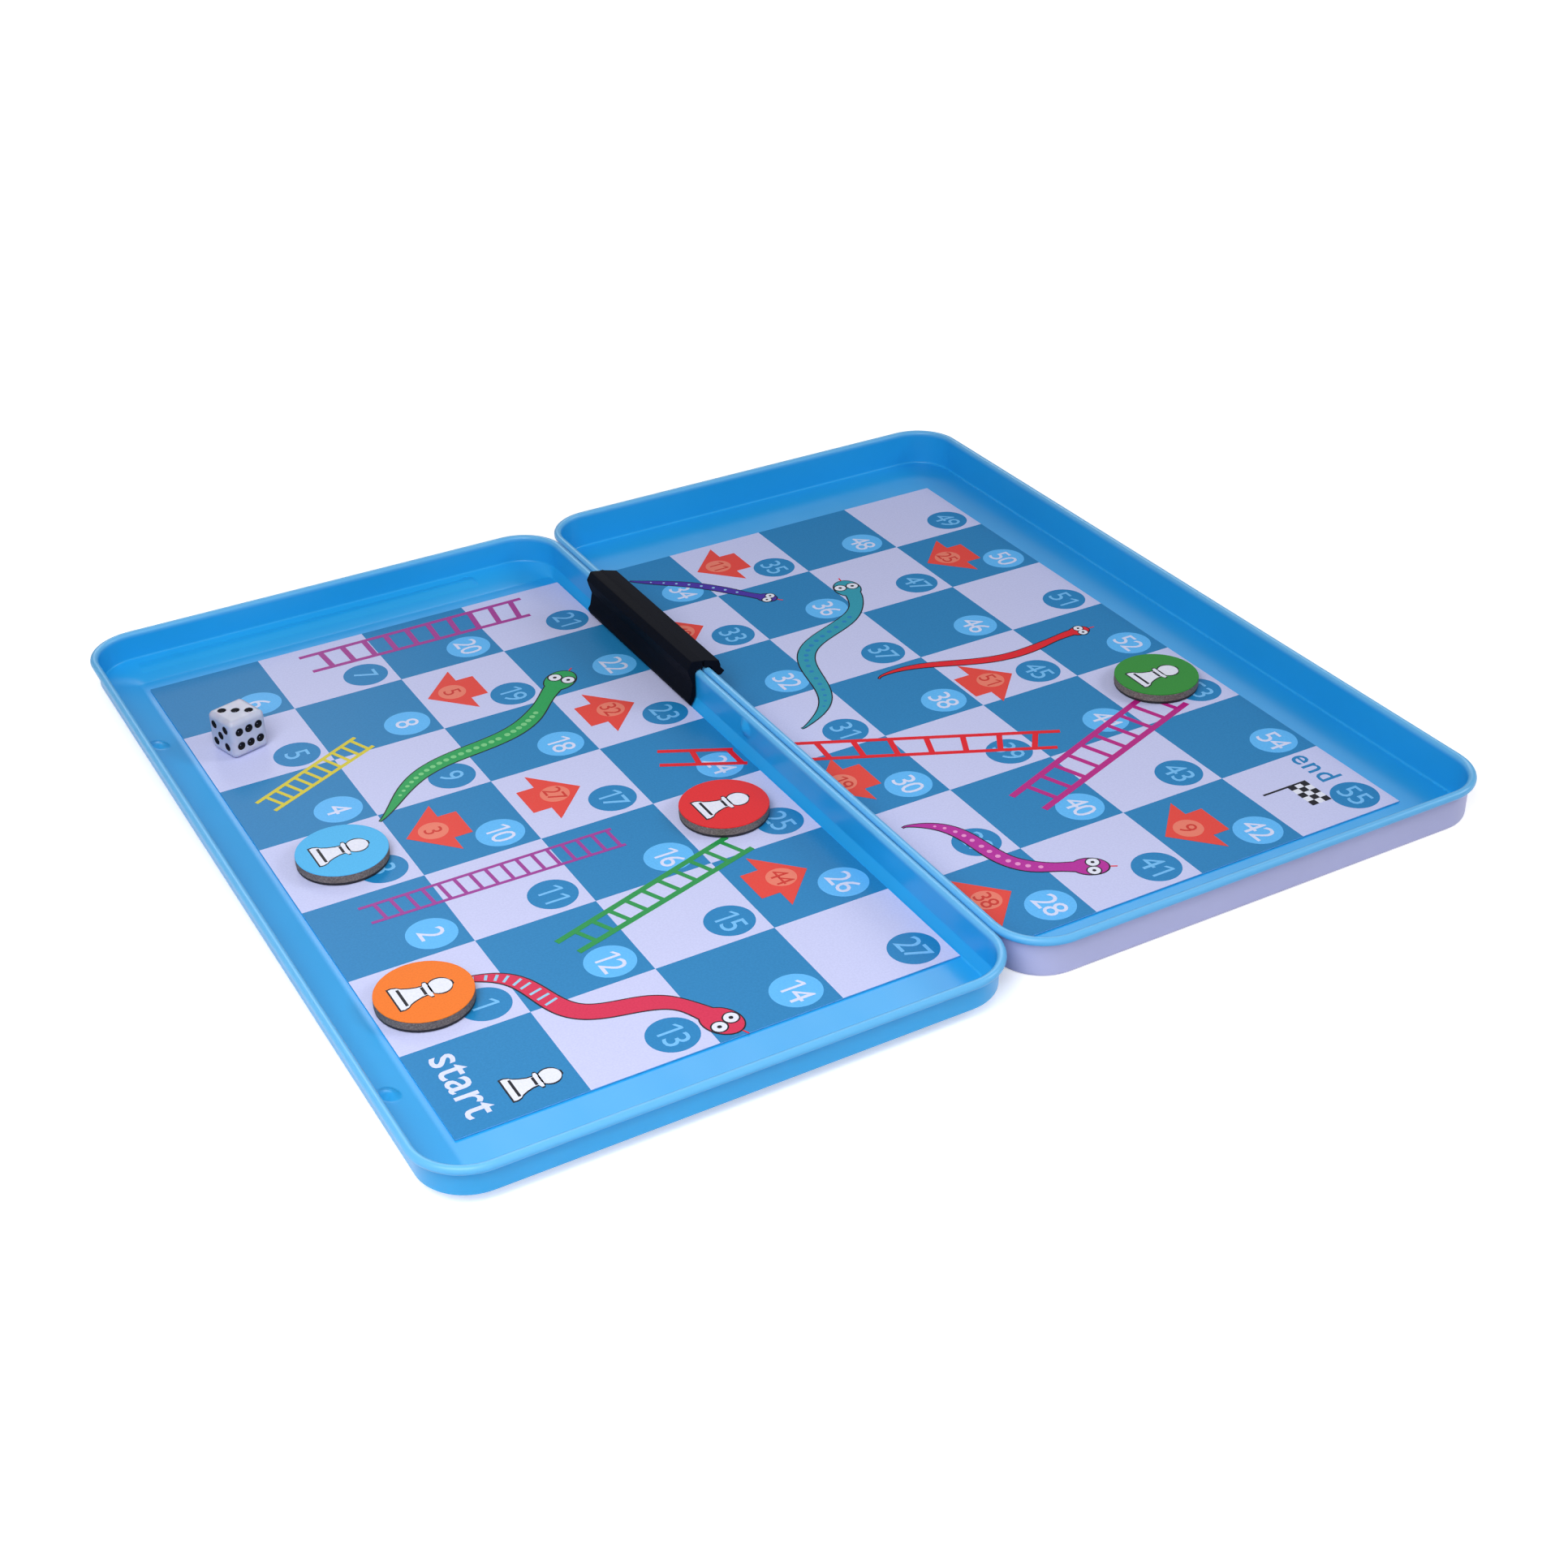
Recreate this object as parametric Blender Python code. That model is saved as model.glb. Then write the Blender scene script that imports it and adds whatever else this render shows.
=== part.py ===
"""A folding magnetic snakes and ladders set, lying open.

Two shallow tin trays lie side by side. Each holds half of the printed board. A black
clip grips both rims and lets the right tray fold over the left one. Four round
magnetic tokens and a small die stand on the board.

Metres, +Z up. The origin is on the table, under the middle of the fold line.
+X runs across the fold towards the right tray. +Y runs along the fold, away from
the near side. A tray is described by its fold side, where it meets the other tray,
its outer side across from that, and its two ends.
"""

import math

import bmesh
import bpy
from mathutils import Matrix, Vector

for old in list(bpy.data.objects):
    bpy.data.objects.remove(old, do_unlink=True)

# Driving dimensions of the board
square_across = 0.0210
square_along = 0.0213
squares_across = 4
squares_along = 7

# Driving dimensions of the trays, which leave a margin of bare tin round the print
outer_margin = 0.0078
fold_margin = 0.0012
end_margin = 0.0121
tray_height = 0.00775
tray_stagger = 0.0012
tin = 0.00035
rim_diameter = 0.00145
rim_opening = 0.00015
corner_radius = 0.0095
least_corner_radius = 0.0005

# Left tray: an upright band under the rim, then a slope down to the floor
slope_rise = 0.0020
slope_width = 0.0069
fold_slope_width = 0.0010
dimple_radius = 0.0019
dimple_depth = 0.0009
dimple_sink = 0.0002

# Right tray: an upright wall and a small rounded bottom edge
bottom_edge_radius = 0.0008

# Printed sheets
sheet_thickness = 0.0002
left_sheet_shift = 0.00165
right_sheet_shift = -0.00215
right_print_trim = 0.00173

# Clip
clip_length = 0.0430
clip_middle = 0.0373
clip_roof = 0.00155
clip_ridge = 0.0003
clip_waist = 0.0005
clip_shoulder = 0.0014
clip_foot = 0.0016
clip_foot_height = 0.0010
clip_hook_drop = 0.0015
clip_hook_reach = 0.0024
clip_hook_thickness = 0.0016

# Tokens
token_diameter = 0.0155
magnet_thickness = 0.0004
disc_thickness = 0.0012
label_thickness = 0.00015
token_sides = 48

# Die
die_edge = 0.0074
die_edge_radius = 0.0010
die_turn_degrees = 16.4
pip_radius = 0.00065
pip_depth = 0.00035
pip_step = 0.0017
six_row_step = 0.0020
six_row_offset = 0.0014

# Clearances
seat_gap = 0.0001
free_gap = 0.0003

# Facets
corner_steps = 8
curl_steps = 9
edge_steps = 3
rim_steps = 5

# Places on the board as shares of a square: from the left board's outer side or the
# right board's fold side, and from the near end
blue_square_shares = (0.53, 3.53)
red_square_shares = (3.43, 2.575)
orange_square_shares = (0.395, 1.495)
green_square_shares = (3.505, 2.53)
die_square_shares = (0.39, 5.63)

# Shape of the clip: heights as shares of the height from the board to the rim's middle
waist_height_share = 0.66
shoulder_height_share = 1.02

# Dimples of the left tray: places as shares of the tray's half length or width
outer_dimple_shares = (-0.69, 0.62)
outer_dimple_slope_share = 0.45
end_dimple_share = 0.20
end_dimple_slope_share = 0.42
fold_dimple_share = -0.02
fold_dimple_height_share = 0.60

# Colours, roughness and metal of each material
tin_blue = (0.10, 0.38, 0.78)
tin_lilac = (0.36, 0.39, 0.66)
sheet_blue = (0.05, 0.22, 0.45)
clip_black = (0.012, 0.013, 0.018)
board_grey = (0.16, 0.14, 0.13)
magnet_black = (0.010, 0.010, 0.012)
die_white = (0.80, 0.80, 0.80)
label_blue = (0.09, 0.53, 0.91)
label_red = (0.72, 0.02, 0.03)
label_orange = (0.85, 0.17, 0.01)
label_green = (0.03, 0.28, 0.04)

# Heights and places that follow from the sizes
sheet_bottom = tin + seat_gap
board_top = sheet_bottom + sheet_thickness
rim_radius = rim_diameter / 2
rim_centre_height = tray_height - rim_radius
rim_to_fold = free_gap / 2
crease_height = tin + slope_rise
print_width = squares_across * square_across
print_length = squares_along * square_along
wall_at_fold = rim_to_fold + rim_diameter
wall_at_outside = wall_at_fold + fold_margin + print_width + outer_margin
wall_at_end = print_length / 2 + end_margin
clip_hollow = rim_radius + free_gap
roof_low = rim_centre_height + clip_hollow
clip_height = roof_low + clip_roof
fold_axis = Vector((0, 0, clip_height))


def material(name, colour, roughness, metallic=0.0):
    """A plain surface of one colour."""
    made = bpy.data.materials.new(name)
    made.use_nodes = True
    shader = made.node_tree.nodes["Principled BSDF"]
    shader.inputs["Base Color"].default_value = (*colour, 1.0)
    shader.inputs["Roughness"].default_value = roughness
    shader.inputs["Metallic"].default_value = metallic
    return made


def empty(name, place):
    """A guide on a joint's axis, which carries the pieces that move with the joint."""
    guide = bpy.data.objects.new(name, None)
    guide.location = place
    bpy.context.scene.collection.objects.link(guide)
    return guide


def piece(name, bm, surface, parent=None, place=(0, 0, 0)):
    """An object made from a bmesh, with its faces turned outwards and one material.

    place is the object's location in its parent's space.
    """
    bmesh.ops.recalc_face_normals(bm, faces=bm.faces[:])
    mesh = bpy.data.meshes.new(name)
    bm.to_mesh(mesh)
    bm.free()
    mesh.materials.append(surface)
    made = bpy.data.objects.new(name, mesh)
    made.location = place
    made.parent = parent
    bpy.context.scene.collection.objects.link(made)
    return made


def smooth(made, limit_degrees=35):
    """Round pieces are shaded smooth up to a crease angle."""
    made.data.shade_smooth()
    made.data.set_sharp_from_angle(angle=math.radians(limit_degrees))


def cutter(name, bm, parent=None):
    """A shape that only cuts or joins others, so it is kept out of the model."""
    made = piece(name, bm, guide_surface, parent)
    made.hide_render = True
    made.display_type = "WIRE"
    return made


def boolean(target, tool, operation):
    """Join tool to target, or cut it away."""
    step = target.modifiers.new(operation.title() + " " + tool.name, "BOOLEAN")
    step.operation = operation
    step.object = tool


def loft(bm, rings):
    """Skin a list of rings with equal numbers of points, and close both ends."""
    rows = [[bm.verts.new(point) for point in ring] for ring in rings]
    for low, high in zip(rows, rows[1:]):
        count = len(low)
        for i in range(count):
            j = (i + 1) % count
            bm.faces.new((low[i], low[j], high[j], high[i]))
    bm.faces.new(rows[0])
    bm.faces.new(rows[-1])


def corner(centre, radius, start_degrees, z):
    """Points of a quarter circle, anticlockwise from start_degrees."""
    points = []
    for i in range(corner_steps + 1):
        angle = math.radians(start_degrees + 90 * i / corner_steps)
        x = centre[0] + radius * math.cos(angle)
        y = centre[1] + radius * math.sin(angle)
        points.append((x, y, z))
    return points


def tray_ring(side, z, outside, fold, end):
    """One level of a tray: a rectangle with rounded corners.

    side is -1 for the left tray and 1 for the right one. outside, fold and end say how
    far the ring lies in from the wall's inner face on those sides. A distance below
    zero lies outwards. The clip holds the trays a little out of line: the left one lies
    nearer by tray_stagger, and the right one further away.
    """
    far_x = wall_at_outside - outside
    near_x = wall_at_fold + fold
    half = wall_at_end - end
    bend = max(corner_radius - rim_diameter - max(outside, end), least_corner_radius)
    points = corner((far_x - bend, half - bend), bend, 0, z)
    points += corner((near_x + bend, half - bend), bend, 90, z)
    points += corner((near_x + bend, bend - half), bend, 180, z)
    points += corner((far_x - bend, bend - half), bend, 270, z)
    return [(side * x, y + side * tray_stagger, z) for x, y, z in points]


def even_ring(side, z, inset):
    """A level of a tray that lies equally far in on all sides."""
    return tray_ring(side, z, inset, inset, inset)


def curl_rings(side):
    """The rolled rim: the tin goes over the top and under, and stops short of the wall.

    The roll's outer skin runs from the wall's inner face over the top to its free end,
    and its inner skin comes back to the wall's outer face.
    """
    inner_radius = rim_radius - tin
    opening_x = rim_radius - tin - rim_opening
    end_angle = -math.acos(-opening_x / rim_radius)
    skins = []
    for radius, first, last in (
        (rim_radius, math.pi, end_angle),
        (inner_radius, end_angle, math.pi),
    ):
        for i in range(curl_steps + 1):
            angle = first + (last - first) * i / curl_steps
            out = rim_radius + radius * math.cos(angle)
            z = rim_centre_height + radius * math.sin(angle)
            skins.append(even_ring(side, z, -out))
    return skins


def slope_inside(width, z):
    """How far in from the wall the left tray's inner face lies at height z."""
    return max(0.0, (crease_height - z) * width / slope_rise)


def slope_outside(width, z):
    """The same for its outer face, which runs one thickness of tin behind the inner one."""
    angle = math.atan2(slope_rise, width)
    return max(-tin, (crease_height - tin / math.cos(angle) - z) / math.tan(angle))


def left_tray_rings():
    """From the floor's middle up the inner face, over the rim and back down outside."""
    def inside(z):
        wide = slope_inside(slope_width, z)
        return tray_ring(-1, z, wide, slope_inside(fold_slope_width, z), wide)

    def outside(z):
        wide = slope_outside(slope_width, z)
        return tray_ring(-1, z, wide, slope_outside(fold_slope_width, z), wide)

    angle = math.atan2(slope_rise, slope_width)
    outer_crease = crease_height - tin * (
        math.cos(angle) - (1 - math.sin(angle)) * math.tan(angle)
    )
    rings = [inside(tin), inside(crease_height)]
    rings += curl_rings(-1)
    rings += [outside(outer_crease), outside(0)]
    return rings


def right_tray_rings():
    """The same walk round a wall that stands upright on a rounded bottom edge."""
    inner_radius = bottom_edge_radius - tin
    inside = []
    outside = []
    for i in range(edge_steps + 1):
        angle = math.radians(90) * i / edge_steps
        inset = inner_radius - inner_radius * math.sin(angle)
        z = bottom_edge_radius - inner_radius * math.cos(angle)
        inside.append(even_ring(1, z, inset))
        inset = inner_radius - bottom_edge_radius * math.cos(angle)
        z = bottom_edge_radius - bottom_edge_radius * math.sin(angle)
        outside.append(even_ring(1, z, inset))
    return inside + curl_rings(1) + outside


def dimple(name, target, centre, inward):
    """A round dimple pressed into the tray along the unit vector inward.

    Two flattened balls of one size lie a thickness of tin apart: the inner one adds the
    raised side and the outer one cuts the hollow behind it. Both sit a little behind
    the face they shape.
    """
    turn = Vector(inward).to_track_quat("Z", "Y").to_matrix().to_4x4()
    flat = Matrix.Diagonal((dimple_radius, dimple_radius, dimple_depth, 1))
    for label, step, operation in (("raised", 0, "UNION"), ("hollow", tin, "DIFFERENCE")):
        bm = bmesh.new()
        place = Matrix.Translation(Vector(centre) - (step + dimple_sink) * Vector(inward))
        bmesh.ops.create_uvsphere(
            bm, u_segments=16, v_segments=8, radius=1, matrix=place @ turn @ flat
        )
        boolean(target, cutter(name + "_" + label, bm), operation)


def left_dimples(tray):
    """Two dimples on the outer slope, one on the far slope and one on the fold wall."""
    angle = math.atan2(slope_rise, slope_width)
    rise = math.cos(angle)
    lean = math.sin(angle)
    in_from_wall = outer_dimple_slope_share * slope_width
    x = in_from_wall - wall_at_outside
    z = crease_height - outer_dimple_slope_share * slope_rise
    for number, share in enumerate(outer_dimple_shares):
        centre = (x, share * wall_at_end - tray_stagger, z)
        dimple("outer_dimple_%d" % number, tray, centre, (lean, 0, rise))
    y = wall_at_end - tray_stagger - end_dimple_slope_share * slope_width
    z = crease_height - end_dimple_slope_share * slope_rise
    centre = (-end_dimple_share * wall_at_outside, y, z)
    dimple("end_dimple", tray, centre, (0, -lean, rise))
    z = crease_height + fold_dimple_height_share * (rim_centre_height - crease_height)
    centre = (-wall_at_fold, fold_dimple_share * wall_at_end - tray_stagger, z)
    dimple("fold_dimple", tray, centre, (-1, 0, 0))


def block(bm, low, high):
    """A box between two corners."""
    size = Vector(high) - Vector(low)
    middle = (Vector(high) + Vector(low)) / 2
    place = Matrix.Translation(middle) @ Matrix.Diagonal((*size, 1))
    bmesh.ops.create_cube(bm, size=1, matrix=place)


def extrude_along_y(bm, outline, near, far):
    """A prism from points in the XZ plane."""
    rings = [[(x, y, z) for x, z in outline] for y in (near, far)]
    loft(bm, rings)


def arc(centre, radius, first_degrees, last_degrees, steps):
    """Points of an arc in the XZ plane."""
    points = []
    for i in range(steps + 1):
        angle = math.radians(first_degrees + (last_degrees - first_degrees) * i / steps)
        points.append((centre[0] + radius * math.cos(angle), centre[1] + radius * math.sin(angle)))
    return points


def clip_left_outline():
    """The half that reaches down inside the left tray: roof, shoulder, waist and foot.

    Its hollow follows the left rim at free_gap. Its leg stops above the board and keeps
    free_gap to the slope at the tray's fold side. The lip of its foot leans outwards.
    """
    rim_x = -rim_to_fold - rim_radius
    leg_x = rim_x - clip_hollow
    foot_low = board_top + free_gap
    foot_top = foot_low + clip_foot_height
    climb = rim_centre_height - foot_top
    angle = math.atan2(slope_rise, fold_slope_width)
    slope_clear = free_gap / math.sin(angle)
    slope_x = -wall_at_fold - slope_inside(fold_slope_width, foot_low) - slope_clear
    return [
        (-rim_to_fold, roof_low),
        *arc((rim_x, rim_centre_height), clip_hollow, 90, 180, rim_steps),
        (leg_x, crease_height + free_gap),
        (slope_x, foot_low),
        (slope_x - clip_ridge, foot_low),
        (leg_x - clip_foot, foot_top),
        (leg_x - clip_waist, foot_top + waist_height_share * climb),
        (leg_x - clip_shoulder + clip_ridge, foot_top + shoulder_height_share * climb),
        (leg_x - clip_shoulder, roof_low + clip_ridge),
        (leg_x - clip_waist, clip_height + clip_ridge),
        (leg_x, clip_height + clip_ridge),
        (-rim_to_fold, clip_height - seat_gap),
    ]


def clip_right_outline():
    """The half that hooks over the right tray's rim, with a lip that leans outwards."""
    rim_x = rim_to_fold + rim_radius
    hook_x = rim_x + clip_hollow
    back_x = hook_x + clip_hook_thickness
    tip_x = hook_x + clip_hook_reach
    hook_low = rim_centre_height - clip_hook_drop
    return [
        (rim_to_fold, clip_height - seat_gap),
        (hook_x + clip_ridge, roof_low + clip_roof / 2 + clip_ridge / 2),
        (back_x - clip_ridge, roof_low + clip_roof / 2 - clip_ridge / 2),
        (back_x, rim_centre_height + rim_radius),
        (back_x, rim_centre_height),
        (tip_x, hook_low + rim_radius),
        (back_x, hook_low),
        (hook_x + clip_ridge, hook_low + clip_ridge),
        *arc((rim_x, rim_centre_height), clip_hollow, 0, 90, rim_steps),
        (rim_to_fold, roof_low),
    ]


def make_clip(name, outline, parent, place):
    """One half of the clip, along the middle stretch of the fold's far half."""
    bm = bmesh.new()
    extrude_along_y(bm, outline, clip_middle - clip_length / 2, clip_middle + clip_length / 2)
    return piece(name, bm, clip_surface, parent, place)


def on_left_board(shares):
    """World X and Y of a place on the left board, counted in squares."""
    x = shares[0] * square_across - wall_at_fold - fold_margin - print_width
    y = shares[1] * square_along - print_length / 2 + left_sheet_shift - tray_stagger
    return x, y


def on_right_board(shares):
    """World X and Y of a place on the right board, counted in squares.

    The sheet was cut short at the fold, so its first column starts under the rim.
    """
    x = shares[0] * square_across + wall_at_fold + fold_margin - right_print_trim
    y = shares[1] * square_along - print_length / 2 + right_sheet_shift + tray_stagger
    return x, y


def disc(name, surface, parent, low, thickness):
    """A flat round layer of a token, its underside at height low above the board."""
    bm = bmesh.new()
    place = Matrix.Translation((0, 0, low + thickness / 2))
    bmesh.ops.create_cone(
        bm,
        cap_ends=True,
        segments=token_sides,
        radius1=token_diameter / 2,
        radius2=token_diameter / 2,
        depth=thickness,
        matrix=place,
    )
    smooth(piece(name, bm, surface, parent))


def token(colour, spot, surface, tray_guide=None):
    """A magnet, a grey board disc and a printed label, stacked on the board."""
    guide = empty("token_" + colour, (spot[0], spot[1], board_top))
    if tray_guide:
        guide.parent = tray_guide
        guide.location = Vector(guide.location) - fold_axis
    low = seat_gap
    disc("token_%s_magnet" % colour, magnet_surface, guide, low, magnet_thickness)
    low += magnet_thickness + seat_gap
    disc("token_%s_disc" % colour, board_surface, guide, low, disc_thickness)
    low += disc_thickness + seat_gap
    disc("token_%s_label" % colour, surface, guide, low, label_thickness)


def pip_spots(count):
    """Places of one face's pips from the face's middle. The six has two rows of three."""
    corners = [(-1, 1), (1, -1), (-1, -1), (1, 1)]
    sides = [(0, -1), (0, 1)]
    middle = [(0, 0)] if count % 2 else []
    spots = middle + corners[: count - count % 2] + (sides if count == 6 else [])
    across, along = (six_row_step, six_row_offset) if count == 6 else (pip_step, pip_step)
    return [(x * across, y * along) for x, y in spots]


def die(spot):
    """A cube with rounded edges and a shallow round hollow for each pip.

    Opposite faces add up to seven. Each face's hollows are made pointing up, then
    turned onto their face.
    """
    guide = empty("die_place", (spot[0], spot[1], board_top + seat_gap + die_edge / 2))
    guide.rotation_euler.z = math.radians(die_turn_degrees)
    bm = bmesh.new()
    bmesh.ops.create_cube(bm, size=die_edge)
    made = piece("die", bm, die_surface, guide)
    bevel = made.modifiers.new("Rounded edges", "BEVEL")
    bevel.width = die_edge_radius
    bevel.segments = 3
    half = die_edge / 2
    faces = {
        3: Matrix.Identity(4),
        4: Matrix.Rotation(math.pi, 4, "X"),
        6: Matrix.Rotation(math.pi / 2, 4, "X"),
        1: Matrix.Rotation(-math.pi / 2, 4, "X"),
        5: Matrix.Rotation(-math.pi / 2, 4, "Y"),
        2: Matrix.Rotation(math.pi / 2, 4, "Y"),
    }
    hollows = bmesh.new()
    flat = Matrix.Diagonal((pip_radius, pip_radius, pip_depth, 1))
    for count, turn in faces.items():
        for across, along in pip_spots(count):
            lift = Matrix.Translation((across, along, half))
            bmesh.ops.create_uvsphere(
                hollows, u_segments=10, v_segments=6, radius=1, matrix=turn @ lift @ flat
            )
    boolean(made, cutter("die_pips", hollows, guide), "DIFFERENCE")
    smooth(made)


guide_surface = material("guide", die_white, 0.5)
tin_surface = material("blue_tin", tin_blue, 0.35)
lilac_surface = material("lilac_tin", tin_lilac, 0.35)
sheet_surface = material("printed_sheet", sheet_blue, 0.45)
clip_surface = material("black_plastic", clip_black, 0.55)
board_surface = material("grey_board", board_grey, 0.85)
magnet_surface = material("magnet", magnet_black, 0.60)
die_surface = material("white_plastic", die_white, 0.30)

fold_guide = empty("fold_axis", fold_axis)
to_fold_space = -fold_axis

bm = bmesh.new()
loft(bm, left_tray_rings())
left_tray = piece("left_tray", bm, tin_surface)
left_dimples(left_tray)
smooth(left_tray)

bm = bmesh.new()
loft(bm, right_tray_rings())
right_tray = piece("right_tray", bm, lilac_surface, fold_guide, to_fold_space)
smooth(right_tray)

bm = bmesh.new()
low_x, low_y = on_left_board((0, 0))
high_x, high_y = on_left_board((squares_across, squares_along))
block(bm, (low_x, low_y, sheet_bottom), (high_x, high_y, board_top))
piece("left_board_sheet", bm, sheet_surface)

bm = bmesh.new()
low_x, low_y = on_right_board((0, 0))
high_x, high_y = on_right_board((squares_across, squares_along))
low_x = wall_at_fold + fold_margin
block(bm, (low_x, low_y, sheet_bottom), (high_x, high_y, board_top))
piece("right_board_sheet", bm, sheet_surface, fold_guide, to_fold_space)

make_clip("hinge_clip_left", clip_left_outline(), None, (0, 0, 0))
make_clip("hinge_clip_right", clip_right_outline(), fold_guide, to_fold_space)

blue_surface = material("blue_label", label_blue, 0.4)
red_surface = material("red_label", label_red, 0.4)
orange_surface = material("orange_label", label_orange, 0.4)
green_surface = material("green_label", label_green, 0.4)

token("blue", on_left_board(blue_square_shares), blue_surface)
token("red", on_left_board(red_square_shares), red_surface)
token("orange", on_left_board(orange_square_shares), orange_surface)
token("green", on_right_board(green_square_shares), green_surface, fold_guide)

die(on_left_board(die_square_shares))
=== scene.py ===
# %% [markdown]
# # A folding magnetic snakes and ladders set
#
# The real thing is a pocket travel game: two shallow tin trays joined by a black plastic
# clip, a printed magnetic sheet in each tray, four round magnetic tokens and a small die.
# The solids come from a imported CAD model. This file repeats their sizes as values of its
# own, so a changed size has to be changed here too. It adds what the eye looks for: rolled
# rims with soft creases, pressed dimples, the print, and a finish for every piece.

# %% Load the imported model
import math

import bmesh
import bpy
import numpy as np
from mathutils import Matrix


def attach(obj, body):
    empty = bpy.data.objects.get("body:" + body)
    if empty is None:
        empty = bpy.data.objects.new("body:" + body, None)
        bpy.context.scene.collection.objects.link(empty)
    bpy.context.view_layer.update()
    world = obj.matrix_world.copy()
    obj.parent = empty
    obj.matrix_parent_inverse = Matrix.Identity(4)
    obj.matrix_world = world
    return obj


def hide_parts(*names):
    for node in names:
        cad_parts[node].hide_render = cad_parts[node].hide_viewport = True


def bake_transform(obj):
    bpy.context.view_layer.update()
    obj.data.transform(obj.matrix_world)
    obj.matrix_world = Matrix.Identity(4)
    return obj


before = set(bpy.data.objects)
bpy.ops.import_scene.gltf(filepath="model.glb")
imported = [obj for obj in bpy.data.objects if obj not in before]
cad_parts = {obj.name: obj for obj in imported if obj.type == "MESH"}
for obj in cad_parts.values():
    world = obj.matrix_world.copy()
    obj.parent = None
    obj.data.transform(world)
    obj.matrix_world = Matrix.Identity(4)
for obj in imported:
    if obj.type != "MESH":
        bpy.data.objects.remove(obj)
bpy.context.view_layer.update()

# %% [markdown]
# ## The camera
#
# A camera could be placed by eye. This one was worked out instead from the corners of the
# printed squares. Once they are taken as 21 mm across, they give the distance, the tilt and
# the lens at once. The camera stands off the left tray's outer near corner.

# %% Camera
camera_place_mm = (-163.4, -312.6, 211.3)
camera_azimuth = math.radians(28.66)
camera_elevation = math.radians(31.96)
camera_roll = math.radians(-1.443)
sensor_mm = 36.0
lens_mm = 52.65


def camera_axes(azimuth, elevation, roll):
    """Right, up and back axes as columns.

    Forward leans elevation below the horizon and azimuth clockwise from +Y. Right starts
    level and up is right crossed with forward. Then both turn by roll about forward.
    """
    level = math.cos(elevation)
    forward = np.array((math.sin(azimuth) * level, math.cos(azimuth) * level,
                        -math.sin(elevation)))
    right = np.array((math.cos(azimuth), -math.sin(azimuth), 0.0))
    up = np.cross(right, forward)
    turned_right = math.cos(roll) * right + math.sin(roll) * up
    turned_up = np.cross(turned_right, forward)
    return np.stack([turned_right, turned_up, -forward], axis=1)


camera_data = bpy.data.cameras.new("camera")
camera_data.sensor_width = sensor_mm
camera_data.lens = lens_mm
camera_data.clip_start = 0.01
camera_data.clip_end = 20
camera = bpy.data.objects.new("camera", camera_data)
bpy.context.scene.collection.objects.link(camera)
place = Matrix(camera_axes(camera_azimuth, camera_elevation, camera_roll).tolist()).to_4x4()
place.translation = [value / 1000 for value in camera_place_mm]
camera.matrix_world = place
bpy.context.scene.camera = camera
print("camera at, mm:", camera_place_mm)

# %% [markdown]
# ## Helpers for finishes
#
# A colour is easiest to judge as the sRGB hex that a picture shows, while the shader
# works in linear light, so one function turns the first into the second. Another small
# function adds a node with its settings and links, which keeps every finish below short
# enough to read as a recipe.

# %% Colour and node helpers
def linear(hex_colour):
    """sRGB hex to linear red, green, blue and alpha: c / 12.92 in the dark part, and
    ((c + 0.055) / 1.055) to the power 2.4 above it."""
    c = np.array([int(hex_colour[i:i + 2], 16) for i in (1, 3, 5)]) / 255
    light = np.where(c <= 0.04045, c / 12.92, ((c + 0.055) / 1.055) ** 2.4)
    return (*light.tolist(), 1.0)


def add(tree, kind, inputs=None, links=None, **settings):
    """Add one node: settings are its properties, inputs the values of its sockets, and
    links the outputs that feed its sockets."""
    node = tree.nodes.new("ShaderNode" + kind)
    for name, value in settings.items():
        setattr(node, name, value)
    for name, value in (inputs or {}).items():
        node.inputs[name].default_value = value
    for name, output in (links or {}).items():
        tree.links.new(output, node.inputs[name])
    return node


def blank(name):
    """A new material with only its output node."""
    made = bpy.data.materials.new(name)
    made.use_nodes = True
    tree = made.node_tree
    tree.nodes.clear()
    return made, tree, add(tree, "OutputMaterial")


def grain(tree, size_mm, detail=2.0, stretch=(1, 1, 1)):
    """Noise whose blots are about size_mm across, in object space."""
    where = add(tree, "TexCoord").outputs["Object"]
    scale = [1000 / size_mm / s for s in stretch]
    placed = add(tree, "Mapping", {"Scale": scale}, {"Vector": where})
    noise = add(tree, "TexNoise", {"Scale": 1.0, "Detail": detail}, {"Vector": placed.outputs[0]})
    return noise.outputs["Fac"]


def between(tree, factor, first, second):
    """A colour that goes from first to second as factor goes from 0.35 to 0.65."""
    spread = add(tree, "MapRange", {"From Min": 0.35, "From Max": 0.65}, {"Value": factor})
    mix = add(tree, "Mix", links={0: spread.outputs[0]}, data_type="RGBA")
    for socket, colour in ((6, first), (7, second)):
        if isinstance(colour, str):
            mix.inputs[socket].default_value = linear(colour)
        else:
            tree.links.new(colour, mix.inputs[socket])
    return mix.outputs[2]


def bump(tree, height, depth_mm):
    """A relief of depth_mm from black to white."""
    settings = {"Strength": 1.0, "Distance": depth_mm / 1000}
    return add(tree, "Bump", settings, {"Height": height}).outputs[0]


def finished(parts, colour, normal, roughness, ior, specular=0.5, more=None):
    """Give a new material its one shader. roughness is a value or an output."""
    made, tree, out = parts
    values = {"IOR": ior, "Specular IOR Level": specular, **(more or {})}
    links = {"Base Color": colour, "Normal": normal}
    (values if isinstance(roughness, float) else links)["Roughness"] = roughness
    shader = add(tree, "BsdfPrincipled", values, links)
    tree.links.new(shader.outputs[0], out.inputs[0])
    return made


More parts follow.
